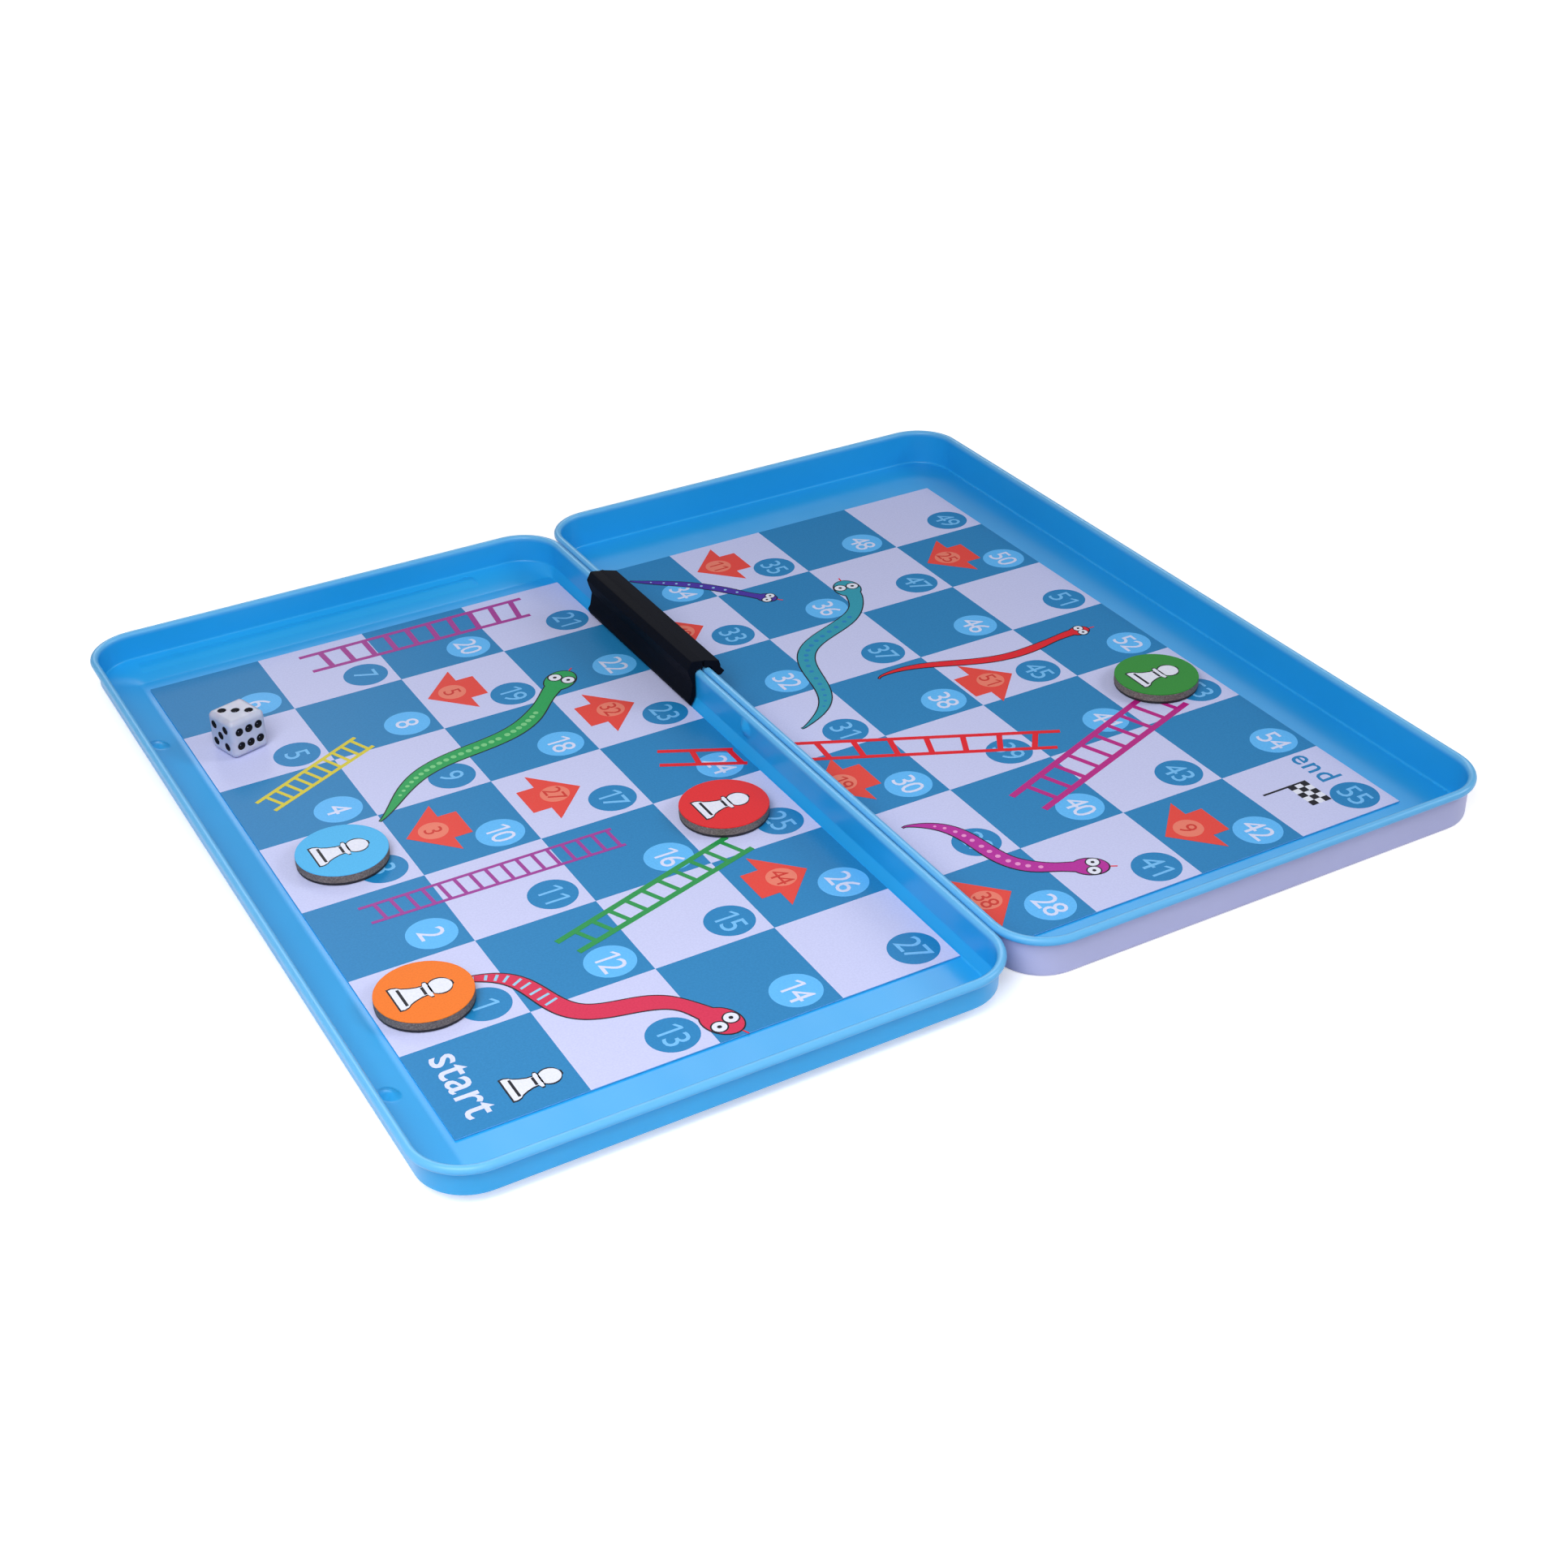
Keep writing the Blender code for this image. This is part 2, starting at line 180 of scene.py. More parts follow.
def plain(name, mottle, colours, relief, depth_mm, *look, **more):
    """A finish whose colour wanders between two along one noise, over a relief of depth_mm
    from another. mottle and relief are what grain takes, look what finished takes."""
    parts = blank(name)
    tree = parts[1]
    colour = between(tree, grain(tree, *mottle), *colours)
    return finished(parts, colour, bump(tree, grain(tree, *relief), depth_mm), *look, **more)


def calculated(tree, operation, first, second):
    """The result of a sum on two outputs."""
    return add(tree, "Math", links={0: first, 1: second}, operation=operation).outputs[0]


# %% [markdown]
# ## Helpers for shapes
#
# Everything below is a surface worked out with numpy: rows of points, joined by quads.
# The alternative is to model by hand with extrudes and loop cuts. Arrays are chosen
# because each shape then states its own formula, and a changed size moves every point.
# Lengths are in millimetres here, and turn into metres when the mesh is made.

# %% Mesh helpers
def grid_faces(rows, columns, closed=True):
    """Quads between neighbouring rows. closed joins the last column to the first."""
    row = np.arange(rows - 1)[:, None] * columns
    column = np.arange(columns if closed else columns - 1)[None, :]
    after = (column + 1) % columns
    quads = [row + column, row + after, row + columns + after, row + columns + column]
    return np.stack(np.broadcast_arrays(*quads), -1).reshape(-1, 4)


def capped(rings):
    """A closed skin over rings of points, with a flat face on the first and last ring."""
    rows, columns = rings.shape[:2]
    faces = grid_faces(rows, columns).tolist()
    faces.append(list(range(columns)))
    faces.append(list(range((rows - 1) * columns, rows * columns)))
    return rings.reshape(-1, 3), faces


def merged(shapes):
    """Many (points, faces) as one."""
    points = []
    faces = []
    start = 0
    for some_points, some_faces in shapes:
        points.append(some_points)
        faces += [[start + i for i in face] for face in some_faces]
        start += len(some_points)
    return np.concatenate(points), faces


def make_piece(name, shape, finish, body, nodes=(), sharp_degrees=35, second=None):
    """A piece from (points in mm, faces) that rides on a body.

    second is (material, first face, last face) for a stretch of faces in another finish.
    """
    points, faces = shape
    mesh = bpy.data.meshes.new(name)
    mesh.from_pydata((np.asarray(points) / 1000).tolist(), [], faces)
    mesh.materials.append(finish)
    if second:
        mesh.materials.append(second[0])
        index = np.zeros(len(faces), np.int32)
        index[second[1]:second[2]] = 1
        mesh.polygons.foreach_set("material_index", index)
    outward = bmesh.new()
    outward.from_mesh(mesh)
    bmesh.ops.recalc_face_normals(outward, faces=outward.faces[:])
    outward.to_mesh(mesh)
    outward.free()
    mesh.shade_smooth()
    mesh.set_sharp_from_angle(angle=math.radians(sharp_degrees))
    made = bpy.data.objects.new(name, mesh)
    bpy.context.scene.collection.objects.link(made)
    if body:
        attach(made, body)
    if nodes:
        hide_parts(*nodes)
    print(name, len(mesh.vertices), "points", len(mesh.polygons), "faces")
    return made


def eased(corners, cuts, divisions, steps=5, hold=0.06):
    """A path through corners in 2-D with its corners eased.

    Corner i is cut back by cuts[i] along both of its sides, and a parabola with the
    corner as its control point joins the cuts. Stretch i is divided divisions[i] times,
    with one point hold from each end so that the flat part stays flat when shaded.
    """
    corners = np.asarray(corners, float)
    path = []
    q = np.linspace(0, 1, steps + 1)[:, None]
    begin = corners[0]
    for i in range(1, len(corners)):
        end = corners[i]
        back = (corners[i - 1] - end) / np.linalg.norm(corners[i - 1] - end)
        stop = end + back * cuts[i]
        along = (stop - begin) / np.linalg.norm(stop - begin)
        first = begin + along * hold
        last = stop - along * hold
        path.append(begin[None])
        path.append(first + np.linspace(0, 1, divisions[i - 1] + 1)[:, None] * (last - first))
        if i == len(corners) - 1 or cuts[i] == 0:
            path.append(stop[None])
            begin = stop
        else:
            ahead = (corners[i + 1] - end) / np.linalg.norm(corners[i + 1] - end)
            start = end + ahead * cuts[i]
            curve = (1 - q) ** 2 * stop + 2 * q * (1 - q) * end + q ** 2 * start
            path.append(curve[:-1])
            begin = start
    return np.concatenate(path)


# %% [markdown]
# ## The enamelled tin
#
# Each tray is pressed from printed tinplate: sheet steel with a baked colour coat. The
# coat gives an even colour with a soft sheen, and up close a very faint orange peel. A
# car-paint recipe with flakes would be too lively, so this one is a plain glossy dielectric
# over a colour that wanders a little, with scuffs that dull the gloss here and there.

# %% Enamelled tinplate
# Heights over which the rolled rim turns to the paler edge colour, a painted highlight.
rim_highlight_heights = {"From Min": 0.0066, "From Max": 0.0074}
scuff_range = {"From Min": 0.3, "From Max": 0.8}
scuff_roughness = 0.08
orange_peel_mm = 0.003


def enamelled_tin(name, colour, deeper, roughness, edge):
    """Baked enamel on tinplate: even colour, satin gloss, faint orange peel and scuffs.
    The rolled rim above a set height takes the paler edge colour, a painted highlight."""
    made, tree, out = blank(name)
    gloss = add(tree, "MapRange",
                {**scuff_range, "To Min": roughness, "To Max": roughness + scuff_roughness},
                {"Value": grain(tree, 9, 5.0, (1, 4, 1))})
    where = add(tree, "TexCoord").outputs["Object"]
    height = add(tree, "SeparateXYZ", links={0: where}).outputs[2]
    # Painted highlight: above these heights the coat turns to the paler edge colour.
    rim_highlight_share = add(tree, "MapRange", rim_highlight_heights, {"Value": height})
    cloud = between(tree, grain(tree, 38, 3.0), colour, deeper)
    coat = add(tree, "Mix", links={0: rim_highlight_share.outputs[0], 6: cloud}, data_type="RGBA")
    coat.inputs[7].default_value = linear(edge)
    peel = bump(tree, grain(tree, 1.3, 1.0), orange_peel_mm)
    return finished((made, tree, out), coat.outputs[2], peel, gloss.outputs[0], 1.5, 0.42)


# The last colour is the rim's painted highlight; on the lilac tin it is the coat's own colour.
sky_tin = enamelled_tin("sky_blue_enamelled_tinplate", "#25a8ea", "#21a3e5", 0.3, "#66baee")
lilac_tin = enamelled_tin("lilac_enamelled_tinplate", "#b8bce4", "#b2b6de", 0.42, "#b8bce4")

# %% [markdown]
# ## The trays
#
# A pressed tray is one sheet of tin bent into a pan, with its edge rolled over a full
# turn. It could be a box with an inset and a bevel. Here it is a profile carried round a
# rounded rectangle, because that is how the press and the rolling wheel shape it: the
# same cross-section runs along every side, and only the slope at the fold is steeper.

# %% Tray sizes
tin_mm = 0.35
tray_height_mm = 7.75
rim_diameter_mm = 1.45
rim_opening_mm = 0.15
rim_radius_mm = rim_diameter_mm / 2
rim_middle_mm = tray_height_mm - rim_radius_mm
wall_at_fold_mm = 1.6
wall_at_outside_mm = 94.6
wall_at_end_mm = 86.65
stagger_mm = 1.2
corner_bend_mm = 8.05
least_bend_mm = 0.5
crease_mm = 2.35
slope_width_mm = 6.9
fold_slope_width_mm = 1.0
corner_columns = 17


def curl():
    """Insets and heights of the rolled rim: out over the top and under on the outer
    radius, then back on the inner one. Both are circle arcs about the roll's middle."""
    end = -math.acos(-(rim_radius_mm - tin_mm - rim_opening_mm) / rim_radius_mm)
    skins = []
    for radius, first, last, count in (
        (rim_radius_mm, math.pi, end, 22),
        (rim_radius_mm - tin_mm, end, math.pi, 10),
    ):
        angle = np.linspace(first, last, count)
        inset = -rim_radius_mm - radius * np.cos(angle)
        skins.append(np.stack([inset, rim_middle_mm + radius * np.sin(angle)], 1))
    return skins


outer_skin, inner_skin = curl()
print("rolled rim rows:", len(outer_skin) + len(inner_skin))

# %% Carry a profile round a tray
def carried_round(side, outer, fold, stops):
    """Rings of a tray for each row of its profile.

    outer and fold are (inset, height) rows for the three outer sides and the fold side. A
    ring is four quarter circles, joined by straight sides that hold extra points at the
    shares in stops. The inset shrinks the rectangle and its corner radius alike.
    """
    inset, height = outer.T
    fold_inset, fold_height = fold.T
    bend = np.maximum(corner_bend_mm - inset, least_bend_mm)
    far = wall_at_outside_mm - inset - bend
    near = wall_at_fold_mm + fold_inset + bend
    half = wall_at_end_mm - inset - bend
    turn = np.radians(np.arange(4)[:, None] * 90 + np.linspace(0, 90, corner_columns)[None])
    middle_x = np.stack([far, near, near, far])[:, None, :]
    middle_y = np.stack([half, half, -half, -half])[:, None, :]
    x = middle_x + np.cos(turn)[..., None] * bend
    y = middle_y + np.sin(turn)[..., None] * bend
    share = np.linspace(0, 1, corner_columns)
    to_fold = np.stack([0 * share, share, 1 - share, 0 * share])[..., None]
    z = height * (1 - to_fold) + fold_height * to_fold
    arcs = np.stack([x, y, z], -1)
    pieces = []
    for i, places in enumerate(stops):
        end = arcs[i, -1]
        start = arcs[(i + 1) % 4, 0]
        f = np.asarray(places)[:, None, None]
        pieces += [arcs[i], end * (1 - f) + start * f]
    ring = np.concatenate(pieces).transpose(1, 0, 2)
    return ring * (side, 1, 1) + (0, side * stagger_mm, 0)


def stops_near(centres, length, reach=2.1, count=17):
    """Shares of a straight side: fine steps round each centre, and one near each end."""
    fine = [np.linspace(c - reach, c + reach, count) for c in centres]
    at = np.concatenate([np.array([0.3, length - 0.3]), *fine])
    return np.sort(at) / length


# %% [markdown]
# ### Dimples
#
# Four small round dimples in the left tray probably click against the lid or hold the
# clip. A press makes one by pushing the sheet with a ball, so both skins move together.
# That is copied here: points within the dimple's radius move along the sheet's inward
# direction, most at the middle and not at all at the edge.

# %% Press the dimples
dimple_radius_mm = 1.9
dimple_depth_mm = 0.72
dimple_reach_mm = 0.6
outer_dimple_shares = (-0.69, 0.62)
end_dimple_share = 0.20
fold_dimple_share = -0.02
fold_dimple_height_mm = 5.155
straight_half_mm = wall_at_end_mm - corner_bend_mm
slope_rise_mm = crease_mm - tin_mm
slope_angle = math.atan2(slope_rise_mm, slope_width_mm)


def slope_spot(share):
    """Inset and height of a point on the wide slope, share of its width from the wall."""
    return share * slope_width_mm, crease_mm - share * slope_rise_mm


outer_inset, outer_z = slope_spot(0.45)
end_inset, end_z = slope_spot(0.42)
lean = math.sin(slope_angle)
rise = math.cos(slope_angle)
end_place = (-end_dimple_share * wall_at_outside_mm, wall_at_end_mm - end_inset, end_z)
fold_place = (-wall_at_fold_mm, fold_dimple_share * wall_at_end_mm, fold_dimple_height_mm)
dimples = [
    ((outer_inset - wall_at_outside_mm, share * wall_at_end_mm, outer_z), (lean, 0, rise))
    for share in outer_dimple_shares
] + [(end_place, (0, -lean, rise)), (fold_place, (-1, 0, 0))]


def pressed(rings, centre, inward):
    """Move points by depth * (1 - (r / radius)^2)^1.5 along inward, where r is their
    distance from the dimple's axis, for both skins of the sheet."""
    centre = np.array(centre) + (0, -stagger_mm, 0)
    inward = np.array(inward)
    offset = rings - centre
    depth = offset @ inward
    r = np.linalg.norm(offset - depth[..., None] * inward, axis=-1) / dimple_radius_mm
    push = np.where(np.abs(depth) < dimple_reach_mm, np.clip(1 - r ** 2, 0, None) ** 1.5, 0)
    return rings + (dimple_depth_mm * push)[..., None] * inward


# %% Left tray
inside = [(8.4, tin_mm), (slope_width_mm, tin_mm), (0, crease_mm), (0, rim_middle_mm)]
inside_fold = [(2.5, tin_mm), (fold_slope_width_mm, tin_mm), (0, crease_mm), (0, rim_middle_mm)]
outside = [(-tin_mm, rim_middle_mm), (-tin_mm, 2.087), (6.85, 0), (8.4, 0)]
outside_fold = [(-tin_mm, rim_middle_mm), (-tin_mm, 2.267), (0.783, 0), (2.5, 0)]
inner_cuts = (0, 0.45, 0.35, 0)
outer_cuts = (0, 0.35, 0.45, 0)


def left_profile(inner, outer, wide):
    """One side's rows: up the inner face, over the roll and down the outer face."""
    ease = 1.0 if wide else 0.6
    return np.concatenate([
        eased(inner, [ease * cut for cut in inner_cuts], (1, 30, 18))[:-1],
        outer_skin,
        inner_skin[:-1],
        eased(outer, [ease * cut for cut in outer_cuts], (18, 30, 1)),
    ])


outer_rows = left_profile(inside, outside, True)
fold_rows = left_profile(inside_fold, outside_fold, False)
end_length = wall_at_outside_mm - wall_at_fold_mm - 2 * corner_bend_mm
side_length = 2 * straight_half_mm
end_dimple_at = wall_at_outside_mm - corner_bend_mm - end_dimple_share * wall_at_outside_mm
left_stops = (
    stops_near([end_dimple_at], end_length),
    stops_near([straight_half_mm - fold_dimple_share * wall_at_end_mm], side_length),
    stops_near([], end_length),
    stops_near([straight_half_mm + share * wall_at_end_mm for share in outer_dimple_shares],
               side_length),
)
left_rings = carried_round(-1, outer_rows, fold_rows, left_stops)
for centre, inward in dimples:
    left_rings = pressed(left_rings, centre, inward)
make_piece(
    "left_tray_pressed", capped(left_rings), sky_tin, "left_half", ["left_tray"]
)

# %% Right tray
right_inside = eased([(2.5, tin_mm), (0, tin_mm), (0, rim_middle_mm)], (0, 0.45, 0), (1, 4))
right_outside = eased([(-tin_mm, rim_middle_mm), (-tin_mm, 0), (2.5, 0)], (0, 0.8, 0), (4, 1))
right_rows = np.concatenate([right_inside[:-1], outer_skin, inner_skin[:-1], right_outside])
plain_stops = [stops_near([], length) for length in (end_length, side_length) * 2]
right_rings = carried_round(1, right_rows, right_rows, plain_stops)
columns = right_rings.shape[1]
blue_rows = len(right_inside) + len(outer_skin) - 4
right_tray = make_piece(
    "right_tray_pressed",
    capped(right_rings),
    sky_tin,
    "right_half",
    ["right_tray"],
    second=(lilac_tin, blue_rows * columns, (len(right_rows) - 1) * columns),
)
right_tray.data.polygons[-1].material_index = 1

# %% [markdown]
# ## The printed sheets
#
# Each half of the board is a thin magnetic sheet with a printed, laminated face. The
# squares could be separate faces, but a checker pattern placed in millimetres on the CAD
# sheet itself is crisp and exact. The ink has the fine mottle of offset print. Real film
# over it is glossier than here: the lamps that put the sheen on the tin would wash it out.

# %% Printed sheet
across_mm = 21.0
along_mm = 21.3
board_top_mm = 0.65
board_origin = {"left": (-86.8, -74.1), "right": (1.07, -75.5)}
dark_square = ("#2786bf", "#2380b9")
pale_square = ("#cfd3f6", "#c9cdf1")
sheet_edge = "#7cc4f2"
shrink = 0.9994


film_look = (0.3, 1.5, 0.06)
film_relief = (2.2, 2.0)
film_depth_mm = 0.004
print_mottle = (0.35, 3.0)


def checkered_sheet(board):
    """Laminated offset print of a checkerboard, its squares placed in millimetres."""
    parts = blank("laminated_print_" + board)
    tree = parts[1]
    x, y = board_origin[board]
    where = add(tree, "TexCoord").outputs["Object"]
    # Drawn a hair smaller about its middle, so the sheet's cut edge takes its own square.
    scale = (shrink * 1000 / across_mm, shrink * 1000 / along_mm, 1.0)
    shift = (
        -shrink * x / across_mm + 2 * (1 - shrink) + 10,
        -shrink * y / along_mm + 3.5 * (1 - shrink) + 10,
        0.5,
    )
    squares = add(tree, "Mapping", {"Scale": scale, "Location": shift}, {"Vector": where})
    fine = grain(tree, *print_mottle)
    pale = between(tree, fine, *pale_square)
    dark = between(tree, fine, *dark_square)
    board_pattern = add(tree, "TexChecker", {"Scale": 1.0},
                        {"Vector": squares.outputs[0], "Color1": pale, "Color2": dark})
    # The cut edge below the printed face is coloured a light blue like the tin around it.
    height = add(tree, "SeparateXYZ", links={0: where}).outputs[2]
    upper = add(tree, "Math", {1: 0.98 * board_top_mm / 1000}, {0: height},
                operation="GREATER_THAN")
    face = add(tree, "Mix", links={0: upper.outputs[0], 7: board_pattern.outputs[0]},
               data_type="RGBA")
    face.inputs[6].default_value = linear(sheet_edge)
    film = bump(tree, grain(tree, *film_relief), film_depth_mm)
    return finished(parts, face.outputs[2], film, *film_look)


for board in ("left", "right"):
    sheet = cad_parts[board + "_board_sheet"]
    sheet.data.materials.clear()
    sheet.data.materials.append(checkered_sheet(board))
    print(sheet.name, "gets a checker of", across_mm, "by", along_mm, "mm")

# %% [markdown]
# ## Print on the squares
#
# Numbers, arrows, ladders and snakes are ink on the same sheet. They could be an image,
# but this file uses none, and a picture blurs close up. Each mark is therefore a very thin
# solid a hundredth of a millimetre high, stacked in the order in which it was printed,
# so its edge stays sharp at any distance and the light treats it like the sheet.

# %% Helpers for marks
layer_mm = 0.012
mark_low_mm = board_top_mm + 0.002
bodies = {"left": "left_half", "right": "right_half"}
marks = {}


def on_board(board, a, b):
    """Millimetres from squares counted across (a) and along (b)."""
    x, y = board_origin[board]
    return np.stack([x + across_mm * np.asarray(a), y + along_mm * np.asarray(b)], -1)


def put(key, shape):
    """Keep a mark under its sheet, ink and layer until all are known."""
    marks.setdefault(key, []).append(shape)


def flat_mark(outline, low, high):
    """A prism over a closed outline in the XY plane."""
    count = len(outline)
    rings = np.stack([
        np.concatenate([outline, np.full((count, 1), low)], 1),
        np.concatenate([outline, np.full((count, 1), high)], 1),
    ])
    return capped(rings)


def ribbon(path, half_width, low, high):
    """A flat band along a path: each point spreads by its half width to both sides,
    square to the path, and the band has a thin rectangle as its cross-section."""
    way = np.gradient(path, axis=0)
    way /= np.linalg.norm(way, axis=1, keepdims=True)
    aside = np.stack([-way[:, 1], way[:, 0]], 1) * np.asarray(half_width)[:, None]
    left = path + aside
    right = path - aside
    base = np.full((len(path), 1), low)
    top = np.full((len(path), 1), high)
    corners = [(left, base), (right, base), (right, top), (left, top)]
    rings = np.stack([np.concatenate(c, 1) for c in corners], 1)
    return capped(rings)


def ellipse(centre, across, along, turn=0.0, count=40):
    """Points of an ellipse with two half axes, turned by an angle."""
    t = np.linspace(0, 2 * math.pi, count, endpoint=False)
    x = across * np.cos(t)
    y = along * np.sin(t)
    return np.stack([
        centre[0] + x * math.cos(turn) - y * math.sin(turn),
        centre[1] + x * math.sin(turn) + y * math.cos(turn),
    ], 1)


def mark(board, ink, layer, outline):
    """Lay a filled outline on a sheet."""
    high = board_top_mm + layer * layer_mm
    put((board, ink, layer), flat_mark(outline, mark_low_mm, high))


def band(board, ink, layer, path, half_width):
    """Lay a band on a sheet. half_width is one value or one for each point."""
    widths = np.broadcast_to(half_width, len(path))
    high = board_top_mm + layer * layer_mm
    put((board, ink, layer), ribbon(path, widths, mark_low_mm, high))


# %% Lettering
def letters(text, height_mm, weight=0.0):
    """Outlines of upright type as a thin solid, centred, height_mm high.

    The type is filled and given its thickness as a curve, then made a mesh, and only
    then scaled so that its tallest letter has the height asked for.
    """
    curve = bpy.data.curves.new("type", "FONT")
    curve.body = text
    curve.extrude = 0.5
    curve.offset = weight
    curve.space_character = 1.06
    curve.resolution_u = 3
    holder = bpy.data.objects.new("type", curve)
    bpy.context.scene.collection.objects.link(holder)
    bpy.context.view_layer.update()
    mesh = bpy.data.meshes.new_from_object(
        holder.evaluated_get(bpy.context.evaluated_depsgraph_get())
    )
    points = np.zeros(len(mesh.vertices) * 3)
    mesh.vertices.foreach_get("co", points)
    points = points.reshape(-1, 3)
    faces = [list(polygon.vertices) for polygon in mesh.polygons]
    bpy.data.objects.remove(holder)
    bpy.data.meshes.remove(mesh)
    low = points.min(0)
    high = points.max(0)
    points -= (low + high) / 2
    points[:, :2] *= height_mm / (high[1] - low[1])
    return points, faces


digit_step_share = 0.64
flag_share = 0.25
stroke_share = 0.115


def one(height_mm):
    """The figure 1: an upright bar with a flag that slants down from its top."""
    top = height_mm / 2
    right = (stroke_share + flag_share) * height_mm / 2
    left = right - stroke_share * height_mm
    reach = flag_share * height_mm
    flag = top - 0.62 * reach
    stroke = stroke_share * height_mm
    return flat_mark(np.array([
        (right, -top),
        (right, top),
        (left, top),
        (left - reach, flag),
        (left - reach, flag - stroke),
        (left, top - 1.1 * stroke),
        (left, -top),
    ]), -0.5, 0.5)


def numeral(text, height_mm):
    """Digits on even steps. The type face's 1 is a bare bar, so that figure is drawn."""
    shapes = []
    for i, digit in enumerate(text):
        points, faces = one(height_mm) if digit == "1" else letters(digit, height_mm)
        middle = (i - (len(text) - 1) / 2) * digit_step_share * height_mm
        shapes.append((points + (middle, 0, 0), faces))
    return merged(shapes)


lettering = {}


def put_text(board, ink, layer, text, centre, height_mm, weight=0.0):
    """Lay type on a sheet. It reads from the far end to the near one, and its top points
    away from the left tray's outer side: across the line of type is -Y and up is +X."""
    key = (text, height_mm, weight)
    if key not in lettering:
        made = numeral(text, height_mm) if text.isdigit() else letters(text, height_mm, weight)
        lettering[key] = made
    points, faces = lettering[key]
    z = np.where(points[:, 2] > 0, board_top_mm + layer * layer_mm, mark_low_mm)
    laid = np.stack([centre[0] + points[:, 1], centre[1] - points[:, 0], z], 1)
    put((board, ink, layer), (laid, faces))


# %% [markdown]
# ### Numbered discs
#
# The path runs back and forth across both halves from the start to 55. Every square
# carries its number on a round disc near a corner: light blue on the dark squares and
# deep blue on the pale ones.

# %% Numbers
disc_radius_mm = 4.2
number_height_mm = 4.3
disc_place_shares = (0.755, 0.25)


def square_of(number):
    """The sheet, row and column of a square on the path, which turns at each row's end."""
    row, step = divmod(number, 7)
    column = step if row % 2 == 0 else 6 - step
    return ("left", row, column) if row < 4 else ("right", row - 4, column)


for number in range(1, 56):
    board, row, column = square_of(number)
    centre = on_board(board, row + disc_place_shares[0], column + disc_place_shares[1])
    dark = number % 2 == 0
    mark(board, "sky" if dark else "deep", 1, ellipse(centre, disc_radius_mm, disc_radius_mm))
    put_text(board, "pale" if dark else "bright", 2, str(number), centre, number_height_mm)
print("numbered squares:", number)

# %% [markdown]
# ### Arrows
#
# Some squares send a player up or down. Each has a block arrow with a small disc that
# holds the number to go to.

# %% Arrows
arrow_head_mm = 0.73 * along_mm
arrow_shaft_mm = 0.35 * along_mm
arrow_height_mm = 0.50 * across_mm
head_share = 0.68
target_disc_mm = 2.6
target_height_mm = 3.2
target_shift_mm = 0.4
up_share = 0.355
down_share = 0.32
middle_share = 0.55


def arrow(number, target, up, across_share, along_share=middle_share):
    """A block arrow as seven corners: a triangle on a shorter, narrower shaft."""
    board, row, column = square_of(number)
    centre = on_board(board, row + across_share, column + along_share)
    way = 1 if up else -1
    tip = arrow_height_mm / 2
    neck = tip - head_share * arrow_height_mm
    corners = np.array([
        (tip, 0),
        (neck, arrow_head_mm / 2),
        (neck, arrow_shaft_mm / 2),
        (-tip, arrow_shaft_mm / 2),
        (-tip, -arrow_shaft_mm / 2),
        (neck, -arrow_shaft_mm / 2),
        (neck, -arrow_head_mm / 2),
    ])
    mark(board, "orange_red", 3, centre + corners * (way, 1))
    spot = centre + (way * target_shift_mm, 0)
    mark(board, "peach", 4, ellipse(spot, target_disc_mm, target_disc_mm, count=28))
    put_text(board, "brick", 5, str(target), spot, target_height_mm)


for number, target, up in (
    (23, 32, True), (26, 44, True), (17, 27, True), (19, 5, False), (10, 3, False),
    (50, 25, False), (42, 9, False), (35, 11, False), (28, 38, True), (33, 40, True),
    (30, 19, False),
):
    arrow(number, target, up, up_share if up else down_share)
arrow(45, 51, True, 0.28, 0.33)
print("arrows laid")

# %% [markdown]
# ### Ladders
#
# A ladder is two rails and a row of rungs that run from rail to rail. Each is drawn from
# the ends of its rails, so a slanting or tapering ladder needs nothing more.

# %% Ladders
def bar(board, ink, layer, first, last, half_width):
    """A straight band between two points in squares."""
    ends = np.array([first, last])
    path = on_board(board, ends[:, 0], ends[:, 1])
    band(board, ink, layer, path, half_width)


def ladder(board, ink, far_rail, near_rail, rungs, rail, rung, shares=(0.09, 0.95)):
    """Two rails, each from its low end to its high end in squares, and rungs from rail
    to rail at even steps between two shares of their length."""
    far_rail = np.array(far_rail)
    near_rail = np.array(near_rail)
    bar(board, ink, 3.4, far_rail[0], far_rail[1], rail)
    bar(board, ink, 3.4, near_rail[0], near_rail[1], rail)
    for step in np.linspace(shares[0], shares[1], rungs):
        far = far_rail[0] + step * (far_rail[1] - far_rail[0])
        near = near_rail[0] + step * (near_rail[1] - near_rail[0])
        bar(board, ink, 3, far, near, rung)


ladder("left", "purple", ((1.341, 6.851), (3.554, 6.872)), ((1.365, 6.549), (3.50, 6.525)),
       10, 0.48, 0.55)
ladder("left", "yellow", ((0.206, 4.683), (1.276, 5.257)), ((0.302, 4.497), (1.365, 5.046)),
       10, 0.38, 0.34)
ladder("left", "plum", ((0.391, 2.83), (2.54, 2.841)), ((0.413, 2.605), (2.545, 2.58)),
       16, 0.33, 0.33, (0.058, 0.98))
ladder("left", "leaf", ((1.513, 1.663), (3.278, 2.259)), ((1.606, 1.472), (3.381, 2.022)),
       10, 0.55, 0.44, (0.10, 0.955))
ladder("left", "scarlet", ((3.40, 3.708), (3.965, 3.412)), ((3.317, 3.502), (3.965, 3.156)),
       2, 0.48, 0.52, (0.455, 0.94))
ladder("right", "scarlet", ((0.09, 3.375), (2.31, 2.298)), ((0.09, 3.081), (2.139, 2.094)),
       7, 0.48, 0.52, (0.156, 0.915))
ladder("right", "magenta", ((1.371, 1.655), (3.40, 2.455)), ((1.49, 1.366), (3.521, 2.12)),
       10, 0.62, 0.50, (0.094, 0.94))
print("ladders laid")

